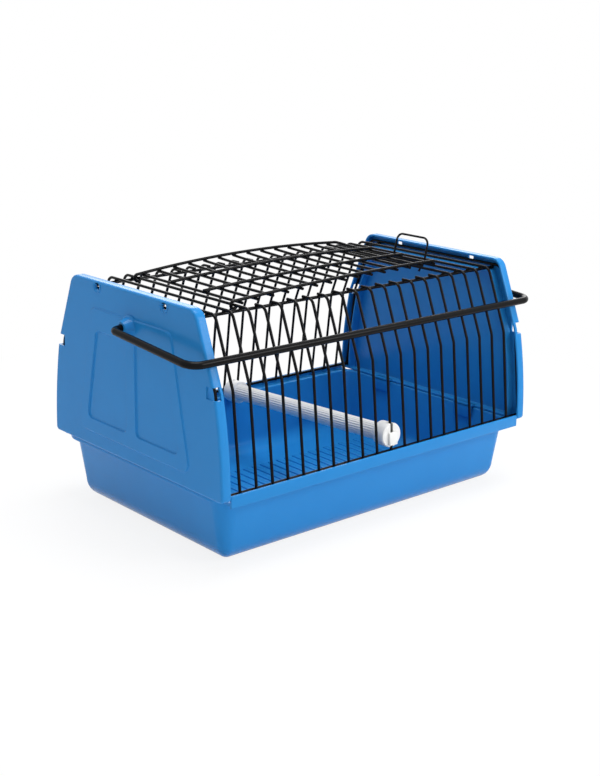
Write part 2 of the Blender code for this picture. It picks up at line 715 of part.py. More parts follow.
def door_wire_path(index):
    """Cross wire of the door, under the rods. The last one stops at the corner of the back rod."""
    x = wire_x(index) + DOOR_WIRE_OFFSET
    lines = door_rod_lines(x)
    places = [lines[0] - DOOR_NUB, *lines, lines[-1] + DOOR_BACK_NUB]
    if index == LATCH_WIRE:
        places[-2:] = [lines[-1] - DOOR_CORNER_RADIUS]
    return [(x, y, DOOR_WIRE_Z + door_rise(x, y)) for y in places]


def make_door(parts, tools, hinge, material):
    wires = [door_wire_path(i) for i in range(HINGE_WIRE, LATCH_WIRE + 1)]
    door = tubes("roof_door", wires, WIRE_DIAMETER, WIRE_RESOLUTION, parts)
    rods = [door_rod_path(k) for k in range(DOOR_ROD_COUNT)]
    combine(door, tubes("roof_door_rods", rods, ROD_DIAMETER, WIRE_RESOLUTION, tools), "UNION")
    finish(door, material)
    hang(door, hinge)


def latch_half(side):
    """Half of the latch from its hook, round the door's last wire, to the corner of the finger loop."""
    curl = WIRE_R + LATCH_DIAMETER / 2 + SEAT_GAP
    y = LATCH_CENTRE_Y + side * LATCH_WIDTH / 2
    tip_x = wire_x(LATCH_WIRE) + WIRE_R + LATCH_DIAMETER / 2 + SEAT_GAP - DOOR_END_X
    tip_z = -math.sqrt(LATCH_HOOK_REACH ** 2 - tip_x ** 2)
    profile = [(tip_x, tip_z)]
    first, last = LATCH_SEAT_DEG
    for k in range(BEND_STEPS + 1):
        angle = math.radians(first + (last - first) * k / BEND_STEPS)
        profile.append((curl * math.cos(angle), curl * math.sin(angle)))
    lean = math.tan(math.radians(LATCH_LEAN_DEG))
    profile.append((curl + lean * LATCH_HEIGHT, LATCH_HEIGHT))
    return [Vector((DOOR_END_X + x, y, LATCH_Z + z)) for x, z in profile]


def make_latch(parts, pivot, material):
    front = latch_half(-1)
    back = latch_half(1)
    radii = [0.0] * (len(front) - 1) + [LATCH_CORNER_RADIUS]
    path = rounded_path(front + back[::-1], radii + radii[::-1], BEND_STEPS)
    latch = tubes("door_latch", [path], LATCH_DIAMETER, WIRE_RESOLUTION, parts)
    finish(latch, material)
    hang(latch, pivot)


# Carrying handle

def handle_reach(arm):
    """Pivot to bar along the arm's direction, so that the bar lies against the panels' sloped sides."""
    start, run = side_lines(0.0)[1]
    outward = Vector((run.y, -run.x))
    pivot = Vector((0.0, PIVOT_Z))
    room = HANDLE_DIAMETER / 2 + SEAT_GAP
    return (room + (start - pivot).dot(outward)) / arm.dot(outward)


def make_handle(parts, pivot, material):
    rest = math.radians(HANDLE_REST_DEG)
    reach = handle_reach(Vector((math.cos(rest), -math.sin(rest))))
    arm_x = FACE_X + BOSS_HEIGHT + ARM_GAP + HANDLE_DIAMETER / 2
    bar_y = -reach * math.cos(rest)
    bar_z = PIVOT_Z - reach * math.sin(rest)
    half = [(FACE_X, 0.0, PIVOT_Z), (arm_x, 0.0, PIVOT_Z), (arm_x, bar_y, bar_z)]
    corners = [(-x, y, z) for x, y, z in half] + half[::-1]
    radii = [0.0, HANDLE_END_RADIUS, HANDLE_CORNER_RADIUS]
    path = rounded_path(corners, radii + radii[::-1], BEND_STEPS + 1)
    handle = tubes("carry_handle", [path], HANDLE_DIAMETER, HANDLE_RESOLUTION, parts)
    finish(handle, material, smooth=True)
    hang(handle, pivot)


def hang(obj, pivot):
    """Parent a moving piece to the empty on its joint's axis, in place."""
    obj.parent = pivot
    obj.matrix_parent_inverse = pivot.matrix_world.inverted()


def add_pivot(name, place, collection):
    empty = bpy.data.objects.new(name, None)
    empty.location = place
    collection.objects.link(empty)
    bpy.context.view_layer.update()
    return empty


# Perch

PERCH_X = wire_x(PERCH_WIRE)
PERCH_Z = ROD_FOOT_Z + ROD_R + SEAT_GAP + CAP_DIAMETER / 2
PERCH_WIRE_Y = side_corners(LEG_INSET, PERCH_Z)[0][0]
PERCH_CLIP = Vector((PERCH_X, -PERCH_WIRE_Y, PERCH_Z))
PERCH_TURN = Matrix.Rotation(-math.radians(PERCH_DROOP_DEG), 3, "X")
PERCH_BACK_Y = FOOT_WIDTH / 2 - TRAY_SIDE_STEP - TRAY_WALL - PERCH_END_GAP
PERCH_REACH = (PERCH_BACK_Y + PERCH_WIRE_Y) / math.cos(math.radians(PERCH_DROOP_DEG))


def perch_place(along):
    """Point on the perch's axis, measured backwards from the wire that the front cap is clipped on."""
    return PERCH_CLIP + PERCH_TURN @ Vector((0.0, along, 0.0))


def make_perch_rod(parts, material):
    """Fluted rod, with each end in the socket of a cap."""
    socket = CAP_LENGTH - CAP_SOCKET_DEPTH + SEAT_GAP
    points = []
    for k in range(2 * PERCH_FLUTES):
        angle = math.pi * k / PERCH_FLUTES
        radius = PERCH_DIAMETER / 2 - PERCH_FLUTE_DEPTH * (k % 2)
        points.append((radius * math.cos(angle), radius * math.sin(angle)))
    rod = prism("perch_rod", [points], socket - CAP_NOSE, PERCH_REACH - socket, parts)
    turn = PERCH_TURN.to_4x4() @ Matrix.Rotation(math.pi / 2, 4, "Z")
    rod.matrix_world = Matrix.Translation(PERCH_CLIP) @ turn @ rod.matrix_world
    finish(rod, material)


def make_perch_cap(name, side, wire_along, turn, parts, tools, material):
    """Cap with a slot for a cage wire and a tongue across the slot's middle."""
    nose = wire_along + side * CAP_NOSE
    inner = nose - side * CAP_LENGTH
    cap = turned(name, CAP_DIAMETER, CAP_DIAMETER, perch_place(inner), perch_place(nose), parts)
    bore = (PERCH_DIAMETER + 2 * SEAT_GAP) / math.cos(math.pi / ROUND_STEPS)
    socket = turned(name + "_socket", bore, bore, perch_place(inner - side * OVERCUT),
                    perch_place(inner + side * CAP_SOCKET_DEPTH), tools)
    combine(cap, socket, "DIFFERENCE")

    half_slot = WIRE_R + SEAT_GAP
    run = side_lines(0.0)[0][1]
    lean = turn @ Matrix.Rotation(side * math.atan2(-run.x, run.y), 3, "X")
    middle = perch_place(wire_along)
    mouth = 2 * CAP_NOSE + OVERCUT
    cuts = {
        "slot": (half_slot, -CAP_DIAMETER, CAP_DIAMETER),
        "mouth_top": (mouth, CAP_TONGUE_TOP, CAP_DIAMETER),
        "mouth_foot": (mouth, -CAP_DIAMETER, -CAP_TONGUE_FOOT),
    }
    for cut, (far, low_z, high_z) in cuts.items():
        across = sorted((-side * half_slot, side * far))
        low = middle + Vector((-half_slot, across[0], low_z))
        high = middle + Vector((half_slot, across[1], high_z))
        combine(cap, box(f"{name}_{cut}", low, high, tools, lean, middle), "DIFFERENCE")
    finish(cap, material, smooth=True)


def build():
    clear_scene()
    parts = new_collection(OBJECT_NAME)
    tools = new_collection(OBJECT_NAME + "_cutters")
    blue = new_material("blue_plastic", BLUE, BLUE_ROUGHNESS)
    black = new_material("black_coated_wire", BLACK, BLACK_ROUGHNESS)
    white = new_material("white_plastic", WHITE, WHITE_ROUGHNESS)

    make_tray(parts, tools, blue)
    make_panel("end_panel_left", -1, parts, tools, blue)
    make_panel("end_panel_right", 1, parts, tools, blue)
    make_grille("cage_front_grille", -1, parts, tools, black)
    make_grille("cage_back_grille", 1, parts, tools, black)
    make_hoops(parts, black)

    door_hinge = add_pivot("door_hinge_axis", (DOOR_HINGE_X, 0, HOOP_ROOF_Z), parts)
    latch_pivot = add_pivot("latch_axis", (DOOR_END_X, LATCH_CENTRE_Y, LATCH_Z), parts)
    handle_pivot = add_pivot("handle_axis", (0, 0, PIVOT_Z), parts)
    hang(latch_pivot, door_hinge)
    bpy.context.view_layer.update()
    make_door(parts, tools, door_hinge, black)
    make_latch(parts, latch_pivot, black)
    make_handle(parts, handle_pivot, black)

    make_perch_rod(parts, white)
    level = Matrix.Identity(3)
    make_perch_cap("perch_cap_front", -1, 0.0, level, parts, tools, white)
    make_perch_cap("perch_cap_back", 1, PERCH_REACH - CAP_NOSE, PERCH_TURN, parts, tools, white)


build()
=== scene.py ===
"""Looks of the small bird carrier: moulded blue tray and end panels, black coated wire, white perch.

Metres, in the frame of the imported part: X along the carrier, -Y its front, +Z up.
"""
import math

import bmesh
import bpy
from mathutils import Matrix, Vector
from mathutils.geometry import tessellate_polygon


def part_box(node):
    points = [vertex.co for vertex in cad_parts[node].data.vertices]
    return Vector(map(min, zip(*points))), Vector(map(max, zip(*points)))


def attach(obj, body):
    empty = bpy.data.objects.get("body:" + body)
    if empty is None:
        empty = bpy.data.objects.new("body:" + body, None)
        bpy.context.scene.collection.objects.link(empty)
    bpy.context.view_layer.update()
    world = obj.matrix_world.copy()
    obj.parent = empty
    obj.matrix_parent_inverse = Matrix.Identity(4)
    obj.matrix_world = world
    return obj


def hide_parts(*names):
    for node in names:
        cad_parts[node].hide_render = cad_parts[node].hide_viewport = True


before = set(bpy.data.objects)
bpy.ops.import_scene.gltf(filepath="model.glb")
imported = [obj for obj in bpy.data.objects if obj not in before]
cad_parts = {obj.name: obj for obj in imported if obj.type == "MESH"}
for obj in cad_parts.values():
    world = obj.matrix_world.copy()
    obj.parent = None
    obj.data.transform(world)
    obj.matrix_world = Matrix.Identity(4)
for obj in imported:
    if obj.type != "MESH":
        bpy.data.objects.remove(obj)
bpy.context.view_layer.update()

# Panel outline
PANEL_FACE_X = 0.1425
FOOT_HALF = 0.0965
SHOULDER_HALF = 0.0888
CROWN_HALF = 0.0692
FOOT_Z = 0.0485
SHOULDER_Z = 0.1168
CROWN_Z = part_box("end_panel_left")[1].z
SIDE_BULGE = 0.0018
CROWN_RADIUS = 0.009
FOOT_RADIUS = 0.003

# Panel moulding
PANEL_WALL = 0.0016
FLANGE_DEPTH = 0.007
FACE_ROUND = 0.0016
EDGE_ROUND = 0.0005
RIB_INSET = 0.0093
RIB_WALL = 0.0015
RIB_DEPTH = 0.0062
FIELD_RISE = 0.0009
FIELD_TOP_DROP = 0.0186
FIELD_FOOT_RISE = 0.0109
FIELD_SIDE_MARGIN = 0.0315
FIELD_RADIUS = 0.006
PANE_SINK = 0.0012
PANE_TOP_DROP = 0.0153
PANE_FOOT_RISE = 0.0096
PANE_SIDE_MARGIN = 0.0092
PANE_RADIUS = 0.004
MULLION_HALF = 0.0055
RELIEF_SLOPE = 0.0010
SUPPORT = 0.00025
SNAP_HALF_WIDTH = 0.0025
SNAP_HALF_HEIGHT = 0.0018
SNAP_RADIUS = 0.0016
SNAP_OFFSET = 0.0377
SNAP_DROP = 0.0038
SNAP_RING_R = 0.004
SNAP_RING_WALL = 0.0004
WINDOW_HALF_HEIGHT = 0.004
WINDOW_DEPTH = 0.005
WINDOW_INNER = 0.0807
WINDOW_OUTER = 0.0930
TONGUE_HALF_WIDTH = 0.009
TONGUE_OFFSET = 0.045
TONGUE_WALL = 0.0016
TONGUE_DROP = 0.0083
TONGUE_X = 0.1326

# Tray
TRAY_TOP_Z = 0.0482
TRAY_HALF_X = 0.136
TRAY_HALF_Y = 0.088
TRAY_WALL = 0.0018
TRAY_DRAFT = 0.0074
TRAY_CORNER_RADIUS = 0.0135
TRAY_CORNER_LEAST = 0.003
TRAY_BOTTOM_RADIUS = 0.014
RIM_OVERHANG = 0.0045
RIM_THICKNESS = 0.003
RIM_ROUND = 0.0008
LIP_INNER = 0.0945
LIP_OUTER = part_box("tray")[1].y
LIP_TOP_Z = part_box("tray")[1].z
LIP_HEIGHT = 0.0083
LIP_HALF_X = 0.1351
LIP_ROUND = 0.0006
SHELF_INNER = 0.087
FLOOR_RIB_PITCH = 0.0082
FLOOR_RIB_COUNT = 27
FLOOR_RIB_WIDTH = 0.0044
FLOOR_RIB_HEIGHT = 0.0009
FLOOR_RIB_FRONT = -0.0617
FLOOR_RIB_BACK = 0.0477

# Wires
WIRE_R = 0.001
ROD_R = 0.0011
LATCH_R = 0.0008
HANDLE_R = 0.0025
WELD_R = 0.0013
HOOP_INSET = 0.0029
LEG_INSET = 0.0035
ROD_INSET = 0.0053
WIRE_FOOT_Z = 0.0504
ROOF_SINK = 0.0026
ROD_SETBACK = 0.008
STUB_LENGTH = 0.0013
ROD_END_X = 0.1406
LOW_ROD_FRONT_Z = 0.0507
LOW_ROD_BACK_Z = 0.0523
DOOR_WIRE_STEP = 0.0053
DOOR_MARGIN = 0.0066
DOOR_TAPER = 0.0092
DOOR_LIFT = 0.0028
DOOR_ROD_COUNT = 4
DOOR_NUB = 0.0024
DOOR_BACK_NUB = 0.0016
DOOR_ROD_TIP = 0.0015
DOOR_BOW_FRONT = 0.0016
DOOR_BOW_BACK = 0.0044
DOOR_CORNER_RADIUS = 0.006
HOOK_TURN = math.radians(240)
HOOK_RADIUS = 0.0024
LATCH_CENTRE_Y = -0.0185
LATCH_HALF_WIDTH = 0.01565
LATCH_HEIGHT = 0.0160
LATCH_LEAN = math.radians(13)
LATCH_CORNER_RADIUS = 0.005
LATCH_CURL = 0.0021
LATCH_TIP = (-0.0032, -0.00711)
PIVOT_Z = 0.142
HANDLE_CORNER_RADIUS = 0.009
HANDLE_END_RADIUS = 0.005
HANDLE_END_X = 0.1437
BOSS_HEIGHT = 0.007
BOSS_FOOT_R = 0.00675
BOSS_TIP_R = 0.00475
BOSS_FLARE = 0.0014
BORE_R = 0.0028

# Perch
PERCH_WIRE = 11
PERCH_Z = 0.0622
PERCH_BACK_Y = 0.0847
PERCH_DROOP = math.radians(2.8)
PERCH_R = 0.006
PERCH_FLUTES = 22
FLUTE_DEPTH = 0.00045
CAP_ROUND = 0.0006
CAP_R = 0.0085
CAP_LENGTH = 0.0125
CAP_FACE = 0.0013
CAP_NOSE = 0.0032
CAP_TONGUE_TOP = 0.0022
CAP_TONGUE_FOOT = 0.0068
CAP_TONGUE_HALF = 0.0036
CAP_TONGUE_ROUND = 0.0011

# Smoothness
BEND_STEPS = 8
ROUND_STEPS = 4
PLAN_STEPS = 12
WIRE_SIDES = 12
HANDLE_SIDES = 24


def centre_of(node):
    low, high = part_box(node)
    return (low + high) / 2


FIRST_WIRE_X = centre_of("hoop_wire_00").x
WIRE_PITCH = (centre_of("hoop_wire_21").x - FIRST_WIRE_X) / 21
HINGE_WIRE = 3
LATCH_WIRE = 17
LAST_WIRE = 21


def wire_x(index):
    return FIRST_WIRE_X + index * WIRE_PITCH


HINGE_X = wire_x(HINGE_WIRE)
DOOR_END_X = wire_x(LATCH_WIRE) + DOOR_WIRE_STEP
HOOP_ROOF_Z = CROWN_Z - HOOP_INSET - ROOF_SINK
DOOR_ROD_Z = HOOP_ROOF_Z + HOOK_RADIUS
DOOR_WIRE_Z = DOOR_ROD_Z - 0.0018
LATCH_Z = DOOR_WIRE_Z + DOOR_LIFT


# Paths and outlines

def spoke(first, last, t):
    angle = first.angle(last)
    mixed = first.normalized() * math.sin((1 - t) * angle) + last.normalized() * math.sin(t * angle)
    return mixed.normalized()


def rounded_path(corners, radii, steps):
    """Corners with the given radii, as a list of points. A radius of 0 leaves the corner sharp."""
    corners = [Vector(c) for c in corners]
    points = []
    for i, (corner, radius) in enumerate(zip(corners, radii)):
        if radius == 0.0:
            points.append(corner)
            continue
        back = (corners[i - 1] - corner).normalized()
        ahead = (corners[(i + 1) % len(corners)] - corner).normalized()
        half = back.angle(ahead) / 2
        centre = corner + (back + ahead).normalized() * (radius / math.sin(half))
        first = corner + back * (radius / math.tan(half)) - centre
        last = corner + ahead * (radius / math.tan(half)) - centre
        for k in range(steps + 1):
            points.append(centre + spoke(first, last, k / steps) * radius)
    return points


def crossing(p, p_dir, q, q_dir):
    det = p_dir[0] * q_dir[1] - p_dir[1] * q_dir[0]
    t = ((q[0] - p[0]) * q_dir[1] - (q[1] - p[1]) * q_dir[0]) / det
    return (p[0] + t * p_dir[0], p[1] + t * p_dir[1])


def side_lines(inset):
    corners = [(FOOT_HALF, FOOT_Z), (SHOULDER_HALF, SHOULDER_Z), (CROWN_HALF, CROWN_Z)]
    lines = []
    for low, high in zip(corners, corners[1:]):
        run = (Vector(high) - Vector(low)).normalized()
        lines.append((Vector(low) + Vector((-run.y, run.x)) * inset, run))
    return lines


def side_corners(inset, foot_z, sink=0.0):
    """Foot, shoulder and crown of the back half, moved in by inset. The crown lies lower by sink."""
    lower, upper = side_lines(inset)
    level = (1.0, 0.0)
    return (crossing(*lower, (0.0, foot_z), level), crossing(*lower, *upper),
            crossing(*upper, (0.0, CROWN_Z - inset - sink), level))


def mirrored(points):
    return list(points) + [(-y, z) for y, z in reversed(points)]


def half_width(z):
    lower, upper = side_lines(0.0)
    return crossing(*(lower if z < SHOULDER_Z else upper), (0.0, z), (1.0, 0.0))[0]


def panel_side(inset, foot_z):
    """Back half of a panel's outline from its foot to its crown, moved in by inset."""
    foot, shoulder, crown = side_corners(inset, foot_z)
    half = []
    for k in range(PLAN_STEPS + 1):
        t = k / PLAN_STEPS
        y, z = Vector(foot).lerp(Vector(shoulder), t)
        half.append((y + 4 * SIDE_BULGE * t * (1 - t), z))
    return half + [crown]


def rib_line(inset):
    """Line of the wire channel's rib, up one side from the foot flange, over the crown and down."""
    half = panel_side(inset, FOOT_Z + PANEL_WALL - EDGE_ROUND)
    line = mirrored(half)
    radii = [0.0] * len(line)
    for k in (len(half) - 1, len(half)):
        radii[k] = SUPPORT
    return rounded_path(line, radii, BEND_STEPS)


def panel_outline(inset):
    """Outline of an end panel in Y and Z, moved in by inset."""
    half = panel_side(inset, FOOT_Z + inset)
    outline = mirrored(half)
    radii = [0.0] * len(outline)
    for k in (len(half) - 1, len(half)):
        radii[k] = max(CROWN_RADIUS - inset, SUPPORT)
    for k in (0, len(outline) - 1):
        radii[k] = max(FOOT_RADIUS - inset, SUPPORT)
    return rounded_path(outline, radii, BEND_STEPS)


def field_corners(grow):
    top_z = CROWN_Z - FIELD_TOP_DROP
    foot_z = FOOT_Z + FIELD_FOOT_RISE
    top = half_width(top_z) - FIELD_SIDE_MARGIN
    foot = half_width(foot_z) - FIELD_SIDE_MARGIN
    return [(foot + grow, foot_z - grow), (top + grow, top_z + grow)]


def field_outline(grow):
    """Raised field on the panel's face, grown by a little."""
    return rounded_path(mirrored(field_corners(grow)), [FIELD_RADIUS + grow] * 4, BEND_STEPS)


def pane_outline(side, grow):
    """One of the two sunk panes, grown by a little."""
    (foot, foot_z), (top, top_z) = field_corners(0.0)
    lean = (foot - top) / (top_z - foot_z)
    pane_top = top + lean * PANE_TOP_DROP - PANE_SIDE_MARGIN + grow
    pane_foot = foot - lean * PANE_FOOT_RISE - PANE_SIDE_MARGIN + grow
    low_z = foot_z + PANE_FOOT_RISE - grow
    high_z = top_z - PANE_TOP_DROP + grow
    inner = MULLION_HALF - grow
    corners = [(inner, low_z), (pane_foot, low_z), (pane_top, high_z), (inner, high_z)]
    return rounded_path([(side * y, z) for y, z in corners], [PANE_RADIUS + grow] * 4, BEND_STEPS)


def snap_outline(side, grow):
    """Small hole under the panel's top edge, grown by a little."""
    y, z = side * SNAP_OFFSET, CROWN_Z - SNAP_DROP
    a, b = SNAP_HALF_WIDTH + grow, SNAP_HALF_HEIGHT + grow
    corners = [(y - a, z - b), (y + a, z - b), (y + a, z + b), (y - a, z + b)]
    return rounded_path(corners, [SNAP_RADIUS + grow] * 4, BEND_STEPS)


def quarter(steps=ROUND_STEPS):
    return [math.pi / 2 * k / steps for k in range(steps + 1)]


# Mesh helpers

def new_piece(name, bm, material, limit=38.0):
    """Object from a bmesh with outward faces, smooth except at sharp edges."""
    bmesh.ops.recalc_face_normals(bm, faces=bm.faces)
    mesh = bpy.data.meshes.new(name)
    bm.to_mesh(mesh)
    bm.free()
    mesh.shade_smooth()
    mesh.set_sharp_from_angle(angle=math.radians(limit))
    mesh.materials.append(material)
    obj = bpy.data.objects.new(name, mesh)
    bpy.context.scene.collection.objects.link(obj)
    return obj


def skin(bm, rings):
    """Closed rings of equal count, joined one to the next."""
    for low, high in zip(rings, rings[1:]):
        for k in range(len(low)):
            n = (k + 1) % len(low)
            bm.faces.new((low[k], low[n], high[n], high[k]))


def fill(bm, rings, flat):
    """Flat face inside the first ring and outside the others. flat gives a vertex's two coordinates."""
    verts = [v for ring in rings for v in ring]
    loops = [[Vector((*flat(v), 0.0)) for v in ring] for ring in rings]
    for triangle in tessellate_polygon(loops):
        bm.faces.new([verts[i] for i in triangle])


def settle(obj):
    """Freeze the object's modifiers into its mesh."""
    bpy.context.view_layer.update()
    mesh = bpy.data.meshes.new_from_object(obj.evaluated_get(bpy.context.evaluated_depsgraph_get()))
    obj.modifiers.clear()
    old = obj.data
    obj.data = mesh
    bpy.data.meshes.remove(old)


def placed(obj, body, slot, *nodes):
    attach(obj, body)
    if nodes:
        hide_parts(*nodes)
    return obj


# Geometry Nodes

def socket(tree, name, kind, way="INPUT"):
    return tree.interface.new_socket(name=name, in_out=way, socket_type=kind).identifier


def wire_tree():
    """Round wire along the object's curves, repeated in a row along X."""
    tree = bpy.data.node_groups.new("wires_in_a_row", "GeometryNodeTree")
    keys = {"path": socket(tree, "Path", "NodeSocketGeometry"),
            "radius": socket(tree, "Radius", "NodeSocketFloat"),
            "sides": socket(tree, "Sides", "NodeSocketInt"),
            "count": socket(tree, "Count", "NodeSocketInt"),
            "pitch": socket(tree, "Pitch", "NodeSocketVector"),
            "material": socket(tree, "Material", "NodeSocketMaterial")}
    socket(tree, "Wires", "NodeSocketGeometry", "OUTPUT")
    add = tree.nodes.new
    link = tree.links.new
    inputs = add("NodeGroupInput")
    outputs = add("NodeGroupOutput")
    section = add("GeometryNodeCurvePrimitiveCircle")
    sweep = add("GeometryNodeCurveToMesh")
    row = add("GeometryNodeMeshLine")
    repeat = add("GeometryNodeInstanceOnPoints")
    realize = add("GeometryNodeRealizeInstances")
    smooth = add("GeometryNodeSetShadeSmooth")
    paint = add("GeometryNodeSetMaterial")
    sweep.inputs["Fill Caps"].default_value = True
    link(inputs.outputs["Radius"], section.inputs["Radius"])
    link(inputs.outputs["Sides"], section.inputs["Resolution"])
    link(inputs.outputs["Path"], sweep.inputs["Curve"])
    link(section.outputs["Curve"], sweep.inputs["Profile Curve"])
    link(inputs.outputs["Count"], row.inputs["Count"])
    link(inputs.outputs["Pitch"], row.inputs["Offset"])
    link(row.outputs["Mesh"], repeat.inputs["Points"])
    link(sweep.outputs["Mesh"], repeat.inputs["Instance"])
    link(repeat.outputs["Instances"], realize.inputs["Geometry"])
    link(realize.outputs["Geometry"], smooth.inputs["Geometry"])
    link(smooth.outputs["Geometry"], paint.inputs["Geometry"])
    link(inputs.outputs["Material"], paint.inputs["Material"])
    link(paint.outputs["Geometry"], outputs.inputs["Wires"])
    return tree, keys


def copies_tree():
    """Copies of a small mesh in a row along X."""
    tree = bpy.data.node_groups.new("copies_in_a_row", "GeometryNodeTree")
    keys = {"shape": socket(tree, "Shape", "NodeSocketGeometry"),
            "count": socket(tree, "Count", "NodeSocketInt"),
            "pitch": socket(tree, "Pitch", "NodeSocketVector"),
            "material": socket(tree, "Material", "NodeSocketMaterial")}
    socket(tree, "Copies", "NodeSocketGeometry", "OUTPUT")
    add = tree.nodes.new
    link = tree.links.new
    inputs = add("NodeGroupInput")
    outputs = add("NodeGroupOutput")
    row = add("GeometryNodeMeshLine")
    repeat = add("GeometryNodeInstanceOnPoints")
    realize = add("GeometryNodeRealizeInstances")
    paint = add("GeometryNodeSetMaterial")
    link(inputs.outputs["Count"], row.inputs["Count"])
    link(inputs.outputs["Pitch"], row.inputs["Offset"])
    link(row.outputs["Mesh"], repeat.inputs["Points"])
    link(inputs.outputs["Shape"], repeat.inputs["Instance"])
    link(repeat.outputs["Instances"], realize.inputs["Geometry"])
    link(realize.outputs["Geometry"], paint.inputs["Geometry"])
    link(inputs.outputs["Material"], paint.inputs["Material"])
    link(paint.outputs["Geometry"], outputs.inputs["Copies"])
    return tree, keys


def weld_tree():
    """Small round weld on every point of the object's mesh."""
    tree = bpy.data.node_groups.new("welds", "GeometryNodeTree")
    keys = {"points": socket(tree, "Points", "NodeSocketGeometry"),
            "radius": socket(tree, "Radius", "NodeSocketFloat"),
            "material": socket(tree, "Material", "NodeSocketMaterial")}
    socket(tree, "Welds", "NodeSocketGeometry", "OUTPUT")
    add = tree.nodes.new
    link = tree.links.new
    inputs = add("NodeGroupInput")
    outputs = add("NodeGroupOutput")
    bead = add("GeometryNodeMeshUVSphere")
    repeat = add("GeometryNodeInstanceOnPoints")
    realize = add("GeometryNodeRealizeInstances")
    smooth = add("GeometryNodeSetShadeSmooth")
    paint = add("GeometryNodeSetMaterial")
    bead.inputs["Segments"].default_value = 10
    bead.inputs["Rings"].default_value = 7
    link(inputs.outputs["Radius"], bead.inputs["Radius"])
    link(inputs.outputs["Points"], repeat.inputs["Points"])
    link(bead.outputs["Mesh"], repeat.inputs["Instance"])
    link(repeat.outputs["Instances"], realize.inputs["Geometry"])
    link(realize.outputs["Geometry"], smooth.inputs["Geometry"])
    link(smooth.outputs["Geometry"], paint.inputs["Geometry"])
    link(inputs.outputs["Material"], paint.inputs["Material"])
    link(paint.outputs["Geometry"], outputs.inputs["Welds"])
    return tree, keys


WIRES = wire_tree()
COPIES = copies_tree()
WELDS = weld_tree()


def apply_tree(obj, tree_and_keys, **values):
    """Run a node tree on the object with the given values and keep the mesh."""
    tree, keys = tree_and_keys
    modifier = obj.modifiers.new(tree.name, "NODES")
    modifier.node_group = tree
    for name, value in values.items():
        modifier[keys[name]] = value
    bpy.context.view_layer.update()
    mesh = bpy.data.meshes.new_from_object(obj.evaluated_get(bpy.context.evaluated_depsgraph_get()))
    name = obj.name
    bpy.data.objects.remove(obj, do_unlink=True)
    piece = bpy.data.objects.new(name, mesh)
    bpy.context.scene.collection.objects.link(piece)
    mesh.set_sharp_from_angle(angle=math.radians(50))
    return piece


def wires(name, paths, radius, material, sides=WIRE_SIDES, count=1, pitch=0.0):
    """Round wires along the paths."""
    curve = bpy.data.curves.new(name, "CURVE")
    curve.dimensions = "3D"
    for path in paths:
        spline = curve.splines.new("POLY")
        spline.points.add(len(path) - 1)
        for point, place in zip(spline.points, path):
            point.co = (*place, 1.0)
    obj = bpy.data.objects.new(name, curve)
    bpy.context.scene.collection.objects.link(obj)
    return apply_tree(obj, WIRES, radius=radius, sides=sides, count=count, pitch=(pitch, 0.0, 0.0),
                      material=material)


def welds(name, places, material):
    mesh = bpy.data.meshes.new(name)
    mesh.from_pydata([tuple(p) for p in places], [], [])
    obj = bpy.data.objects.new(name, mesh)
    bpy.context.scene.collection.objects.link(obj)
    return apply_tree(obj, WELDS, radius=WELD_R, material=material)


# Finishes

def finish_material(name, colour, deep, roughness, shine, grain, grain_scale, patch_scale):
    """Coated or moulded surface: slightly uneven colour and gloss, with a fine grain."""
    material = bpy.data.materials.new(name)
    material.use_nodes = True
    tree = material.node_tree
    add = tree.nodes.new
    link = tree.links.new
    shader = tree.nodes["Principled BSDF"]
    shader.inputs["Specular IOR Level"].default_value = shine
    place = add("ShaderNodeTexCoord")
    patches = add("ShaderNodeTexNoise")
    patches.inputs["Scale"].default_value = patch_scale
    patches.inputs["Detail"].default_value = 3.0
    tint = add("ShaderNodeMix")
    tint.data_type = "RGBA"
    tint.inputs["A"].default_value = (*deep, 1.0)
    tint.inputs["B"].default_value = (*colour, 1.0)
    gloss = add("ShaderNodeMapRange")
    gloss.inputs["To Min"].default_value = roughness * 0.85
    gloss.inputs["To Max"].default_value = roughness * 1.15
    fine = add("ShaderNodeTexNoise")
    fine.inputs["Scale"].default_value = grain_scale
    fine.inputs["Detail"].default_value = 2.0
    bump = add("ShaderNodeBump")
    bump.inputs["Strength"].default_value = grain
    bump.inputs["Distance"].default_value = 0.0002
    link(place.outputs["Object"], patches.inputs["Vector"])
    link(place.outputs["Object"], fine.inputs["Vector"])
    link(patches.outputs["Fac"], tint.inputs["Factor"])
    link(patches.outputs["Fac"], gloss.inputs["Value"])
    link(tint.outputs["Result"], shader.inputs["Base Color"])
    link(gloss.outputs["Result"], shader.inputs["Roughness"])
    link(fine.outputs["Fac"], bump.inputs["Height"])
    link(bump.outputs["Normal"], shader.inputs["Normal"])
    return material


BLUE = finish_material("blue_moulding", (0.020, 0.238, 0.605), (0.017, 0.219, 0.570), 0.22, 0.15, 0.04, 1400.0, 45.0)
BLACK = finish_material("black_coating", (0.005, 0.005, 0.0055), (0.003, 0.003, 0.0035), 0.2, 0.09, 0.1, 900.0, 160.0)
WHITE = finish_material("white_moulding", (0.80, 0.80, 0.79), (0.76, 0.76, 0.75), 0.42, 0.3, 0.05, 1200.0, 60.0)


# Tray

def tray_ring(bm, offset, z):
    x = TRAY_HALF_X + offset
    y = TRAY_HALF_Y + offset
    corners = [(x, -y), (x, y), (-x, y), (-x, -y)]
    plan = rounded_path(corners, [max(TRAY_CORNER_RADIUS + offset, TRAY_CORNER_LEAST)] * 4, PLAN_STEPS)
    return [bm.verts.new((a, b, z)) for a, b in plan]


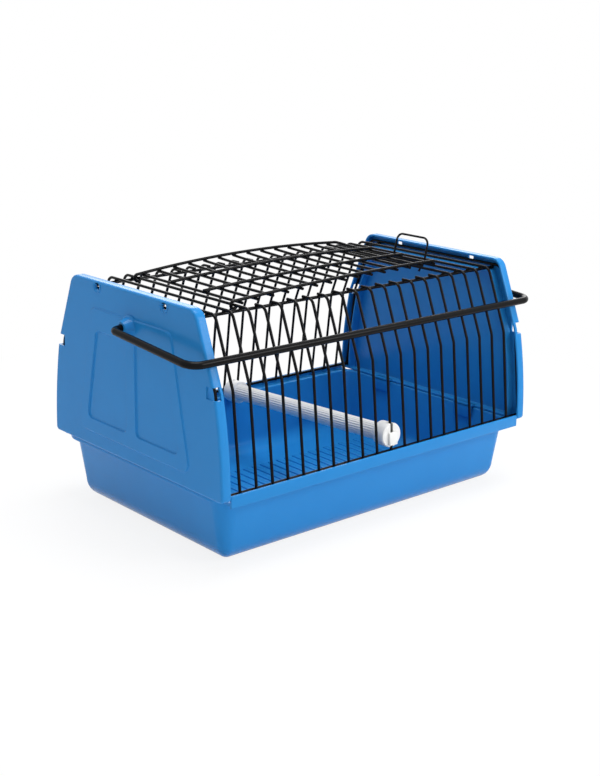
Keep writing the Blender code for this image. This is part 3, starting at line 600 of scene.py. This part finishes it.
def tray_profile():
    """Offset from the wall's top edge and height, from under the floor over the rim to the floor."""
    lean = TRAY_DRAFT / TRAY_TOP_Z
    floor = lean * TRAY_BOTTOM_RADIUS - TRAY_DRAFT - TRAY_BOTTOM_RADIUS
    r = RIM_ROUND
    rim_z = TRAY_TOP_Z - RIM_THICKNESS
    inner = TRAY_BOTTOM_RADIUS - TRAY_WALL
    bend = quarter(2 * ROUND_STEPS)
    turn = quarter()
    profile = [(floor - SUPPORT, 0.0)]
    profile += [(floor + TRAY_BOTTOM_RADIUS * math.sin(a), TRAY_BOTTOM_RADIUS * (1 - math.cos(a))) for a in bend]
    wall = -lean * RIM_THICKNESS
    profile += [(wall - lean * r * 2, rim_z - 2 * r)]
    profile += [(wall + r * (1 - math.cos(a)), rim_z - r + r * math.sin(a)) for a in turn]
    profile += [(RIM_OVERHANG - r + r * math.sin(a), rim_z + r * (1 - math.cos(a))) for a in turn]
    profile += [(RIM_OVERHANG - r + r * math.cos(a), TRAY_TOP_Z - r + r * math.sin(a)) for a in turn]
    profile += [(RIM_OVERHANG - r - SUPPORT, TRAY_TOP_Z), (r + SUPPORT - TRAY_WALL, TRAY_TOP_Z)]
    profile += [(r - TRAY_WALL - r * math.sin(a), TRAY_TOP_Z - r + r * math.cos(a)) for a in turn]
    profile += [(floor + inner * math.cos(a), TRAY_BOTTOM_RADIUS - inner * math.sin(a)) for a in bend]
    profile += [(floor - SUPPORT, TRAY_WALL)]
    return profile


def make_tray():
    bm = bmesh.new()
    rings = [tray_ring(bm, offset, z) for offset, z in tray_profile()]
    skin(bm, rings)
    for ring in (rings[0], rings[-1]):
        fill(bm, [ring], lambda v: (v.co.x, v.co.y))
    placed(new_piece("tray_moulding", bm, BLUE), "carrier", "blue_plastic", "tray")

    for side, name in ((-1, "tray_lip_front"), (1, "tray_lip_back")):
        low = (-LIP_HALF_X, LIP_INNER, LIP_TOP_Z - LIP_HEIGHT)
        high = (LIP_HALF_X, LIP_OUTER, LIP_TOP_Z)
        shelf_low = (-LIP_HALF_X, SHELF_INNER, TRAY_TOP_Z - RIM_THICKNESS + EDGE_ROUND)
        shelf_high = (LIP_HALF_X, LIP_INNER + EDGE_ROUND, TRAY_TOP_Z - EDGE_ROUND)
        bm = bmesh.new()
        add_block(bm, low, high, LIP_ROUND)
        add_block(bm, shelf_low, shelf_high, 0.0)
        bmesh.ops.scale(bm, vec=(1, side, 1), verts=bm.verts)
        placed(new_piece(name, bm, BLUE), "carrier", "blue_plastic")

    bm = bmesh.new()
    first = -FLOOR_RIB_PITCH * (FLOOR_RIB_COUNT - 1) / 2
    low = (first - FLOOR_RIB_WIDTH / 2, FLOOR_RIB_FRONT, TRAY_WALL - FLOOR_RIB_HEIGHT)
    high = (first + FLOOR_RIB_WIDTH / 2, FLOOR_RIB_BACK, TRAY_WALL + FLOOR_RIB_HEIGHT)
    add_block(bm, low, high, FLOOR_RIB_HEIGHT * 0.7)
    rib = new_piece("tray_floor_ribs", bm, BLUE)
    ribs = apply_tree(rib, COPIES, count=FLOOR_RIB_COUNT, pitch=(FLOOR_RIB_PITCH, 0.0, 0.0), material=BLUE)
    placed(ribs, "carrier", "blue_plastic")


def add_block(bm, low, high, radius):
    """Box between two corners, with its edges rounded."""
    verts = bmesh.ops.create_cube(bm, size=1.0)["verts"]
    bmesh.ops.scale(bm, vec=[b - a for a, b in zip(low, high)], verts=verts)
    bmesh.ops.translate(bm, vec=[(a + b) / 2 for a, b in zip(low, high)], verts=verts)
    if radius > 0.0:
        edges = list({e for v in verts for e in v.link_edges})
        bmesh.ops.bevel(bm, geom=edges, offset=radius, segments=3, profile=0.5, affect="EDGES")


# End panels

def soft_step():
    """Drafted edge of the relief: how far it lies outside its line, and its share of the height."""
    half = RELIEF_SLOPE / 2
    steps = [k / (2 * ROUND_STEPS) for k in range(2 * ROUND_STEPS + 1)]
    slope = [(half - RELIEF_SLOPE * u, u * u * (3 - 2 * u)) for u in steps]
    return [(half + SUPPORT, 0.0)] + slope + [(-half - SUPPORT, 1.0)]


def make_panel(side, name, node):
    """Moulded end panel: outer face with its relief, flange, inner face and rib."""
    bm = bmesh.new()

    def ring(outline, depth):
        return [bm.verts.new((side * (PANEL_FACE_X - depth), y, z)) for y, z in outline]

    def across(v):
        return (v.co.y, v.co.z)

    turn = quarter()
    r = FACE_ROUND
    e = EDGE_ROUND
    shell = [(r + SUPPORT, 0.0)]
    shell += [(r - r * math.sin(a), r - r * math.cos(a)) for a in turn]
    shell += [(e - e * math.cos(a), FLANGE_DEPTH - e + e * math.sin(a)) for a in turn]
    shell += [(PANEL_WALL - e + e * math.sin(a), FLANGE_DEPTH - e + e * math.cos(a)) for a in turn]
    shell += [(PANEL_WALL + e - e * math.cos(a), PANEL_WALL + e - e * math.sin(a)) for a in turn]
    shell += [(PANEL_WALL + e + SUPPORT, PANEL_WALL)]
    shell = [ring(panel_outline(inset), depth) for inset, depth in shell]
    skin(bm, shell)

    field = [ring(field_outline(grow), -FIELD_RISE * share) for grow, share in soft_step()]
    skin(bm, field)

    pane = [(grow, PANE_SINK * share - FIELD_RISE) for grow, share in soft_step()]
    panes = []
    for pane_side in (-1, 1):
        rings = [ring(pane_outline(pane_side, grow), depth) for grow, depth in pane]
        skin(bm, rings)
        fill(bm, [rings[-1]], across)
        panes.append(rings)

    snap = [(e + SUPPORT, 0.0)]
    snap += [(e - e * math.sin(a), e - e * math.cos(a)) for a in turn]
    snap += [(0.0, PANEL_WALL)]
    snaps = []
    for snap_side in (-1, 1):
        rings = [ring(snap_outline(snap_side, grow), depth) for grow, depth in snap]
        skin(bm, rings)
        snaps.append(rings)

    fill(bm, [shell[0], field[0], snaps[0][0], snaps[1][0]], across)
    fill(bm, [field[-1], panes[0][0], panes[1][0]], across)
    fill(bm, [shell[-1], snaps[0][-1], snaps[1][-1]], across)
    panel = new_piece(name, bm, BLUE)

    cutter = bmesh.new()
    for end in (-1, 1):
        ends = sorted((end * WINDOW_INNER, end * WINDOW_OUTER))
        depths = sorted((side * (PANEL_FACE_X + FIELD_RISE), side * (PANEL_FACE_X - WINDOW_DEPTH)))
        add_block(cutter, (depths[0], ends[0], SHOULDER_Z - WINDOW_HALF_HEIGHT),
                  (depths[1], ends[1], SHOULDER_Z + WINDOW_HALF_HEIGHT), 0.0)
    windows = new_piece(name + "_windows", cutter, BLUE)
    cut = panel.modifiers.new("windows", "BOOLEAN")
    cut.operation = "DIFFERENCE"
    cut.solver = "EXACT"
    cut.object = windows
    settle(panel)
    bpy.data.objects.remove(windows, do_unlink=True)
    panel.data.set_sharp_from_angle(angle=math.radians(38))
    placed(panel, "carrier", "blue_plastic", node)

    bm = bmesh.new()
    rib = [(0.0, PANEL_WALL - e), (0.0, PANEL_WALL + RIB_DEPTH - e)]
    rib += [(e - e * math.cos(a), PANEL_WALL + RIB_DEPTH - e + e * math.sin(a)) for a in turn[1:]]
    rib += [(RIB_WALL - e + e * math.sin(a), PANEL_WALL + RIB_DEPTH - e + e * math.cos(a)) for a in turn]
    rib += [(RIB_WALL, PANEL_WALL - e)]
    lines = [ring_in(bm, side, rib_line(RIB_INSET + inset), depth) for inset, depth in rib]
    sections = list(zip(*lines))
    skin(bm, sections)
    for section in (sections[0], sections[-1]):
        bm.faces.new(section)
    placed(new_piece(name + "_rib", bm, BLUE), "carrier", "blue_plastic")

    placed(wires(name + "_snap_rings", [snap_ring(side, end) for end in (-1, 1)], SNAP_RING_WALL, BLUE),
           "carrier", "blue_plastic")

    bm = bmesh.new()
    add_boss(bm, side)
    placed(new_piece(name + "_boss", bm, BLUE), "carrier", "blue_plastic")

    bm = bmesh.new()
    for end in (-1, 1):
        outer = side * TONGUE_X
        inner = side * (TONGUE_X - TONGUE_WALL)
        low = (min(outer, inner), end * TONGUE_OFFSET - TONGUE_HALF_WIDTH, FOOT_Z - TONGUE_DROP)
        high = (max(outer, inner), end * TONGUE_OFFSET + TONGUE_HALF_WIDTH, FOOT_Z + PANEL_WALL)
        add_block(bm, low, high, EDGE_ROUND)
        root = side * (PANEL_FACE_X - FLANGE_DEPTH + PANEL_WALL)
        add_block(bm, (min(inner, root), low[1], FOOT_Z + EDGE_ROUND),
                  (max(inner, root), high[1], FOOT_Z + PANEL_WALL), 0.0)
    placed(new_piece(name + "_tongues", bm, BLUE), "carrier", "blue_plastic")


def snap_ring(side, end):
    """Low moulded ring round the foot of a snap hole, open towards the panel's top edge."""
    points = []
    for k in range(4 * BEND_STEPS + 1):
        angle = math.radians(-205 + 230 * k / (4 * BEND_STEPS))
        points.append((side * PANEL_FACE_X, end * SNAP_OFFSET + SNAP_RING_R * math.cos(angle),
                       CROWN_Z - SNAP_DROP + SNAP_RING_R * math.sin(angle)))
    return points


def ring_in(bm, side, outline, depth):
    return [bm.verts.new((side * (PANEL_FACE_X - depth), y, z)) for y, z in outline]


def add_boss(bm, side):
    """Pivot boss of the handle, flared where it meets the panel."""
    turn = quarter()
    f = BOSS_FLARE
    e = EDGE_ROUND
    profile = [(BOSS_FOOT_R + f, PANEL_WALL / 2)]
    profile += [(BOSS_FOOT_R + f - f * math.sin(a), f * math.cos(a) - f - FIELD_RISE / 2) for a in turn]
    profile += [(BOSS_TIP_R - e + e * math.cos(a), e - BOSS_HEIGHT - e * math.sin(a)) for a in turn]
    profile += [(BORE_R + e - e * math.sin(a), e - BOSS_HEIGHT - e * math.cos(a)) for a in turn]
    profile += [(BORE_R, 0.0)]
    rings = []
    for radius, depth in profile:
        around = [2 * math.pi * k / (4 * PLAN_STEPS) for k in range(4 * PLAN_STEPS)]
        circle = [(radius * math.cos(a), PIVOT_Z + radius * math.sin(a)) for a in around]
        rings.append(ring_in(bm, side, circle, depth))
    skin(bm, rings)
    for ring in (rings[0], rings[-1]):
        fill(bm, [ring], lambda v: (v.co.y, v.co.z))


# Wire cage

def standing(points, x):
    return [(x, y, z) for y, z in points]


def hoop_path(x):
    bend = CROWN_RADIUS - HOOP_INSET
    corners = mirrored(side_corners(HOOP_INSET, WIRE_FOOT_Z, ROOF_SINK))
    return standing(rounded_path(corners, [0.0, SHOULDER_BEND, bend, bend, SHOULDER_BEND, 0.0], BEND_STEPS), x)


def leg_path(x, side):
    foot, shoulder, crown = side_corners(LEG_INSET, WIRE_FOOT_Z, ROOF_SINK)
    bend = CROWN_RADIUS - LEG_INSET
    stub = (TOP_ROD[0] - STUB_LENGTH, crown[1])
    points = rounded_path([foot, shoulder, crown, stub], [0.0, SHOULDER_BEND, bend, 0.0], BEND_STEPS)
    return standing([(side * y, z) for y, z in points], x)


SHOULDER_BEND = 0.012
TOP_ROD = (side_corners(LEG_INSET, WIRE_FOOT_Z, ROOF_SINK)[2][0] - ROD_SETBACK, CROWN_Z - ROD_INSET - ROOF_SINK)
LOW_RODS = {-1: side_corners(ROD_INSET, LOW_ROD_FRONT_Z)[0], 1: side_corners(ROD_INSET, LOW_ROD_BACK_Z)[0]}


def make_cage():
    legs = range(HINGE_WIRE + 1, LATCH_WIRE)
    for side, name, node in ((-1, "front_grille", "cage_front_grille"), (1, "back_grille", "cage_back_grille")):
        row = wires(name + "_legs", [leg_path(wire_x(legs[0]), side)], WIRE_R, BLACK, count=len(legs), pitch=WIRE_PITCH)
        placed(row, "carrier", "black_wire", node)
        low_rod = LOW_RODS[side]
        rods = [[(-ROD_END_X, side * y, z), (ROD_END_X, side * y, z)] for y, z in (TOP_ROD, low_rod)]
        placed(wires(name + "_rods", rods, ROD_R, BLACK), "carrier", "black_wire")
        beads = [(wire_x(i), side * (y + d), z + h)
                 for i in range(LAST_WIRE + 1) for (y, z), d, h in ((TOP_ROD, 0.0, ROD_R), (low_rod, ROD_R, 0.0))]
        placed(welds(name + "_welds", beads, BLACK), "carrier", "black_wire")
    for name, first, last in (("hinge_end_hoops", 0, HINGE_WIRE), ("latch_end_hoops", LATCH_WIRE, LAST_WIRE)):
        nodes = [f"hoop_wire_{i:02d}" for i in range(first, last + 1)]
        hoops = wires(name, [hoop_path(wire_x(first))], WIRE_R, BLACK, count=len(nodes), pitch=WIRE_PITCH)
        placed(hoops, "carrier", "black_wire", *nodes)


# Roof door, latch and handle

def door_along(x):
    return (x - HINGE_X) / (DOOR_END_X - HINGE_X)


def door_rod_lines(x):
    """Distances of the door's rods from the middle at x, front to back. The front one comes in a little."""
    back = TOP_ROD[0] - DOOR_MARGIN
    front = DOOR_TAPER * door_along(x) - back
    return [front + (back - front) * k / (DOOR_ROD_COUNT - 1) for k in range(DOOR_ROD_COUNT)]


def door_rise(x, y):
    """Lift of the free end and gentle bow of the door, strongest along its back edge."""
    lines = door_rod_lines(x)
    share = max(0.0, (y - lines[0]) / (lines[-1] - lines[0]))
    bow = DOOR_BOW_FRONT + (DOOR_BOW_BACK - DOOR_BOW_FRONT) * share ** 2
    along = door_along(x)
    return DOOR_LIFT * along + 4 * bow * along * (1 - along)


def hinge_curl(y):
    """Tip of a door rod, curled round the hinge wire."""
    points = []
    for k in range(3 * BEND_STEPS, 0, -1):
        angle = math.pi / 2 + HOOK_TURN * k / (3 * BEND_STEPS)
        points.append((HINGE_X + HOOK_RADIUS * math.cos(angle), y, HOOP_ROOF_Z + HOOK_RADIUS * math.sin(angle)))
    return points


def corner_turn(y):
    """End of the back rod, turned forwards and down into the door's last wire."""
    points = []
    for k in range(1, BEND_STEPS + 1):
        angle = math.pi / 2 * k / BEND_STEPS
        x = DOOR_END_X - DOOR_CORNER_RADIUS * (1 - math.sin(angle))
        drop = (DOOR_ROD_Z - DOOR_WIRE_Z) * k / BEND_STEPS
        z = DOOR_ROD_Z - drop + door_rise(x, y)
        points.append((x, y - DOOR_CORNER_RADIUS * (1 - math.cos(angle)), z))
    return points + [(DOOR_END_X, y - DOOR_CORNER_RADIUS - 2 * ROD_R, LATCH_Z)]


def door_rod_path(index):
    cornered = index == DOOR_ROD_COUNT - 1
    hooked = cornered or index == 0
    start = HINGE_X if hooked else HINGE_X + DOOR_WIRE_STEP - 2 * ROD_R
    stop = DOOR_END_X - DOOR_CORNER_RADIUS if cornered else DOOR_END_X + DOOR_ROD_TIP
    steps = 3 * BEND_STEPS
    points = hinge_curl(door_rod_lines(HINGE_X)[index]) if hooked else []
    for k in range(steps + 1):
        x = start + (stop - start) * k / steps
        y = door_rod_lines(x)[index]
        points.append((x, y, DOOR_ROD_Z + door_rise(x, y)))
    return points + corner_turn(y) if cornered else points


def door_wire_path(index):
    x = wire_x(index) + DOOR_WIRE_STEP
    lines = door_rod_lines(x)
    low = lines[0] - DOOR_NUB
    high = lines[-1] - DOOR_CORNER_RADIUS if index == LATCH_WIRE else lines[-1] + DOOR_BACK_NUB
    steps = 2 * BEND_STEPS
    path = []
    for k in range(steps + 1):
        y = low + (high - low) * k / steps
        path.append((x, y, DOOR_WIRE_Z + door_rise(x, y)))
    return path


def make_door():
    indices = range(HINGE_WIRE, LATCH_WIRE + 1)
    cross = wires("door_cross_wires", [door_wire_path(i) for i in indices], WIRE_R, BLACK)
    placed(cross, "roof_door", "black_wire", "roof_door")
    rods = wires("door_rods", [door_rod_path(k) for k in range(DOOR_ROD_COUNT)], ROD_R, BLACK)
    placed(rods, "roof_door", "black_wire")
    beads = []
    for i in indices:
        x = wire_x(i) + DOOR_WIRE_STEP
        for k, y in enumerate(door_rod_lines(x)):
            if i != LATCH_WIRE or k != DOOR_ROD_COUNT - 1:
                beads.append((x, y, (DOOR_WIRE_Z + DOOR_ROD_Z) / 2 + door_rise(x, y)))
    placed(welds("door_welds", beads, BLACK), "roof_door", "black_wire")


def latch_half(side):
    y = LATCH_CENTRE_Y + side * LATCH_HALF_WIDTH
    profile = [LATCH_TIP]
    for k in range(BEND_STEPS + 1):
        angle = math.radians(-100 + 105 * k / BEND_STEPS)
        profile.append((LATCH_CURL * math.cos(angle), LATCH_CURL * math.sin(angle)))
    profile.append((LATCH_CURL + math.tan(LATCH_LEAN) * LATCH_HEIGHT, LATCH_HEIGHT))
    return [Vector((DOOR_END_X + x, y, LATCH_Z + z)) for x, z in profile]


def make_latch():
    front = latch_half(-1)
    back = latch_half(1)
    radii = [0.0] * (len(front) - 1) + [LATCH_CORNER_RADIUS]
    path = rounded_path(front + back[::-1], radii + radii[::-1], BEND_STEPS)
    placed(wires("latch_wire", [path], LATCH_R, BLACK), "door_latch", "black_wire", "door_latch")


def make_handle():
    low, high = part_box("carry_handle")
    arm_x = high.x - HANDLE_R
    bar_y = low.y + HANDLE_R
    bar_z = low.z + HANDLE_R
    half = [(HANDLE_END_X, 0.0, PIVOT_Z), (arm_x, 0.0, PIVOT_Z), (arm_x, bar_y, bar_z)]
    corners = [(-x, y, z) for x, y, z in half] + half[::-1]
    radii = [0.0, HANDLE_END_RADIUS, HANDLE_CORNER_RADIUS]
    path = rounded_path(corners, radii + radii[::-1], 2 * BEND_STEPS)
    handle = wires("handle_wire", [path], HANDLE_R, BLACK, sides=HANDLE_SIDES)
    placed(handle, "carry_handle", "black_wire", "carry_handle")


# Perch

PERCH_CLIP = Vector((wire_x(PERCH_WIRE), -side_corners(LEG_INSET, PERCH_Z)[0][0], PERCH_Z))
PERCH_TURN = Matrix.Rotation(-PERCH_DROOP, 3, "X")
PERCH_REACH = (PERCH_BACK_Y - PERCH_CLIP.y) / math.cos(PERCH_DROOP)


def perch_place(x, along, z):
    """Point round the perch's axis, measured backwards from the wire that the front cap is clipped on."""
    return PERCH_CLIP + PERCH_TURN @ Vector((x, along, z))


def make_perch():
    start = CAP_LENGTH / 2
    stop = PERCH_REACH - CAP_LENGTH / 2
    bm = bmesh.new()
    rings = []
    sides = 8 * PERCH_FLUTES
    for along, inset in ((start, EDGE_ROUND), (start + EDGE_ROUND, 0.0), (stop - EDGE_ROUND, 0.0), (stop, EDGE_ROUND)):
        ring = []
        for k in range(sides):
            angle = 2 * math.pi * k / sides
            r = PERCH_R - inset - FLUTE_DEPTH * (0.5 - 0.5 * math.cos(PERCH_FLUTES * angle))
            ring.append(bm.verts.new(perch_place(r * math.cos(angle), along, r * math.sin(angle))))
        rings.append(ring)
    skin(bm, rings)
    for ring in (rings[0], rings[-1]):
        fill(bm, [ring], lambda v: (v.co.x, v.co.z))
    placed(new_piece("perch_bar", bm, WHITE), "carrier", "white_plastic", "perch_rod")


def make_cap(name, side, wire_along, slot_turn, node):
    """Cap with an open slot over a cage wire and a tongue that keeps the wire in."""
    face = wire_along + side * CAP_FACE
    inner = wire_along + side * (CAP_NOSE - CAP_LENGTH)
    e = CAP_ROUND * side
    turn = quarter()
    profile = [(CAP_R - CAP_ROUND, inner)]
    profile += [(CAP_R - CAP_ROUND + CAP_ROUND * math.sin(a), inner + e - e * math.cos(a)) for a in turn[1:]]
    profile += [(CAP_R - CAP_ROUND + CAP_ROUND * math.cos(a), face - e + e * math.sin(a)) for a in turn]
    bm = bmesh.new()
    rings = []
    around = [2 * math.pi * k / (4 * PLAN_STEPS) for k in range(4 * PLAN_STEPS)]
    for radius, along in profile:
        rings.append([bm.verts.new(perch_place(radius * math.cos(a), along, radius * math.sin(a))) for a in around])
    skin(bm, rings)
    for ring in (rings[0], rings[-1]):
        fill(bm, [ring], lambda v: (v.co.x, v.co.z))
    cap = new_piece(name, bm, WHITE)

    lean = side_lines(0.0)[0][1]
    slot_turn = slot_turn @ Matrix.Rotation(side * math.atan2(-lean.x, lean.y), 3, "X")
    half_slot = WIRE_R + 0.0003
    middle = perch_place(0.0, wire_along, 0.0)
    near, far = sorted((-side * half_slot, side * CAP_LENGTH))
    cutter = bmesh.new()
    add_block(cutter, middle + Vector((-half_slot, near, -2 * CAP_R)), middle + Vector((half_slot, far, 2 * CAP_R)), 0.0)
    bmesh.ops.rotate(cutter, cent=middle, matrix=slot_turn, verts=cutter.verts)
    slot = new_piece(name + "_slot", cutter, WHITE)
    cut = cap.modifiers.new("slot", "BOOLEAN")
    cut.operation = "DIFFERENCE"
    cut.solver = "EXACT"
    cut.object = slot
    settle(cap)
    bpy.data.objects.remove(slot, do_unlink=True)

    bm = bmesh.new()
    near, far = sorted((side * half_slot, side * CAP_NOSE))
    add_block(bm, middle + Vector((-CAP_TONGUE_HALF, near, -CAP_TONGUE_FOOT)),
              middle + Vector((CAP_TONGUE_HALF, far, CAP_TONGUE_TOP)), CAP_TONGUE_ROUND / 2)
    bmesh.ops.rotate(bm, cent=middle, matrix=slot_turn, verts=bm.verts)
    placed(new_piece(name + "_tongue", bm, WHITE), "carrier", "white_plastic")
    cap.data.set_sharp_from_angle(angle=math.radians(38))
    placed(cap, "carrier", "white_plastic", node)


# Studio

CAMERA_PLACE = (-0.6058, -0.6918, 0.3435)
CAMERA_YAW = math.radians(41.41)
CAMERA_PITCH = math.radians(16.24)
CAMERA_ROLL = math.radians(-0.96)
CAMERA_LENS = 61.206


def add_camera():
    forward = Vector((math.sin(CAMERA_YAW) * math.cos(CAMERA_PITCH), math.cos(CAMERA_YAW) * math.cos(CAMERA_PITCH),
                      -math.sin(CAMERA_PITCH)))
    right = Vector((math.cos(CAMERA_YAW), -math.sin(CAMERA_YAW), 0.0))
    down = forward.cross(right)
    across = right * math.cos(CAMERA_ROLL) + down * math.sin(CAMERA_ROLL)
    down = down * math.cos(CAMERA_ROLL) - right * math.sin(CAMERA_ROLL)
    data = bpy.data.cameras.new("photo_camera")
    data.lens = CAMERA_LENS
    data.clip_start = 0.01
    camera = bpy.data.objects.new("photo_camera", data)
    turn = Matrix((across, -down, -forward)).transposed().to_4x4()
    camera.matrix_world = Matrix.Translation(CAMERA_PLACE) @ turn
    bpy.context.scene.collection.objects.link(camera)
    bpy.context.scene.camera = camera


def add_area(name, place, aim, size, power):
    data = bpy.data.lights.new(name, "AREA")
    data.shape = "RECTANGLE"
    data.size, data.size_y = size
    data.energy = power
    light = bpy.data.objects.new(name, data)
    light.location = place
    light.rotation_euler = (Vector(aim) - Vector(place)).to_track_quat("-Z", "Y").to_euler()
    bpy.context.scene.collection.objects.link(light)


def seen_as_backdrop(tree):
    """Share of 1 for what the camera sees, also in a reflection or through something clear."""
    path = tree.nodes.new("ShaderNodeLightPath")
    total = path.outputs["Is Camera Ray"]
    for kind in ("Is Glossy Ray", "Is Transmission Ray"):
        either = tree.nodes.new("ShaderNodeMath")
        either.operation = "MAXIMUM"
        tree.links.new(total, either.inputs[0])
        tree.links.new(path.outputs[kind], either.inputs[1])
        total = either.outputs["Value"]
    return total


def add_floor():
    """White studio floor that takes a faint shadow."""
    bm = bmesh.new()
    bmesh.ops.create_grid(bm, x_segments=1, y_segments=1, size=6.0)
    material = bpy.data.materials.new("studio_floor")
    material.use_nodes = True
    tree = material.node_tree
    tree.nodes.clear()
    add = tree.nodes.new
    link = tree.links.new
    matte = add("ShaderNodeBsdfDiffuse")
    matte.inputs["Color"].default_value = (0.9, 0.9, 0.9, 1.0)
    glow = add("ShaderNodeEmission")
    glow.inputs["Color"].default_value = (1.0, 1.0, 1.0, 1.0)
    place = add("ShaderNodeTexCoord")
    away = add("ShaderNodeVectorMath")
    away.operation = "LENGTH"
    fade = add("ShaderNodeMapRange")
    fade.inputs["From Min"].default_value = 0.18
    fade.inputs["From Max"].default_value = 0.45
    fade.inputs["To Min"].default_value = 0.86
    fade.inputs["To Max"].default_value = 1.0
    share = add("ShaderNodeMath")
    share.operation = "MULTIPLY"
    mix = add("ShaderNodeMixShader")
    out = add("ShaderNodeOutputMaterial")
    link(place.outputs["Object"], away.inputs[0])
    link(away.outputs["Value"], fade.inputs["Value"])
    link(fade.outputs["Result"], share.inputs[0])
    link(seen_as_backdrop(tree), share.inputs[1])
    link(share.outputs["Value"], mix.inputs["Fac"])
    link(matte.outputs["BSDF"], mix.inputs[1])
    link(glow.outputs["Emission"], mix.inputs[2])
    link(mix.outputs["Shader"], out.inputs["Surface"])
    floor = new_piece("studio_floor", bm, material)


def add_world():
    world = bpy.data.worlds.new("studio")
    world.use_nodes = True
    tree = world.node_tree
    background = tree.nodes["Background"]
    background.inputs["Color"].default_value = (1.0, 1.0, 1.0, 1.0)
    strength = tree.nodes.new("ShaderNodeMix")
    strength.inputs["A"].default_value = 0.5
    strength.inputs["B"].default_value = 1.0
    tree.links.new(seen_as_backdrop(tree), strength.inputs["Factor"])
    tree.links.new(strength.outputs["Result"], background.inputs["Strength"])
    bpy.context.scene.world = world


make_tray()
make_panel(-1, "left_end", "end_panel_left")
make_panel(1, "right_end", "end_panel_right")
make_cage()
make_door()
make_latch()
make_handle()
make_perch()
make_cap("perch_clip_front", -1, 0.0, Matrix.Identity(3), "perch_cap_front")
make_cap("perch_clip_back", 1, PERCH_REACH - CAP_NOSE, PERCH_TURN, "perch_cap_back")

add_camera()
add_floor()
add_world()
add_area("key_light", (0.70, -1.20, 0.80), (0.0, 0.0, 0.08), (0.8, 0.6), 9.5)
add_area("top_light", (0.1, -0.1, 1.6), (0.0, 0.0, 0.08), (1.0, 0.8), 19.0)
add_area("back_light", (1.0, 1.1, 0.75), (0.0, 0.0, 0.12), (1.3, 0.5), 6.0)
bpy.context.scene.view_settings.view_transform = "Standard"
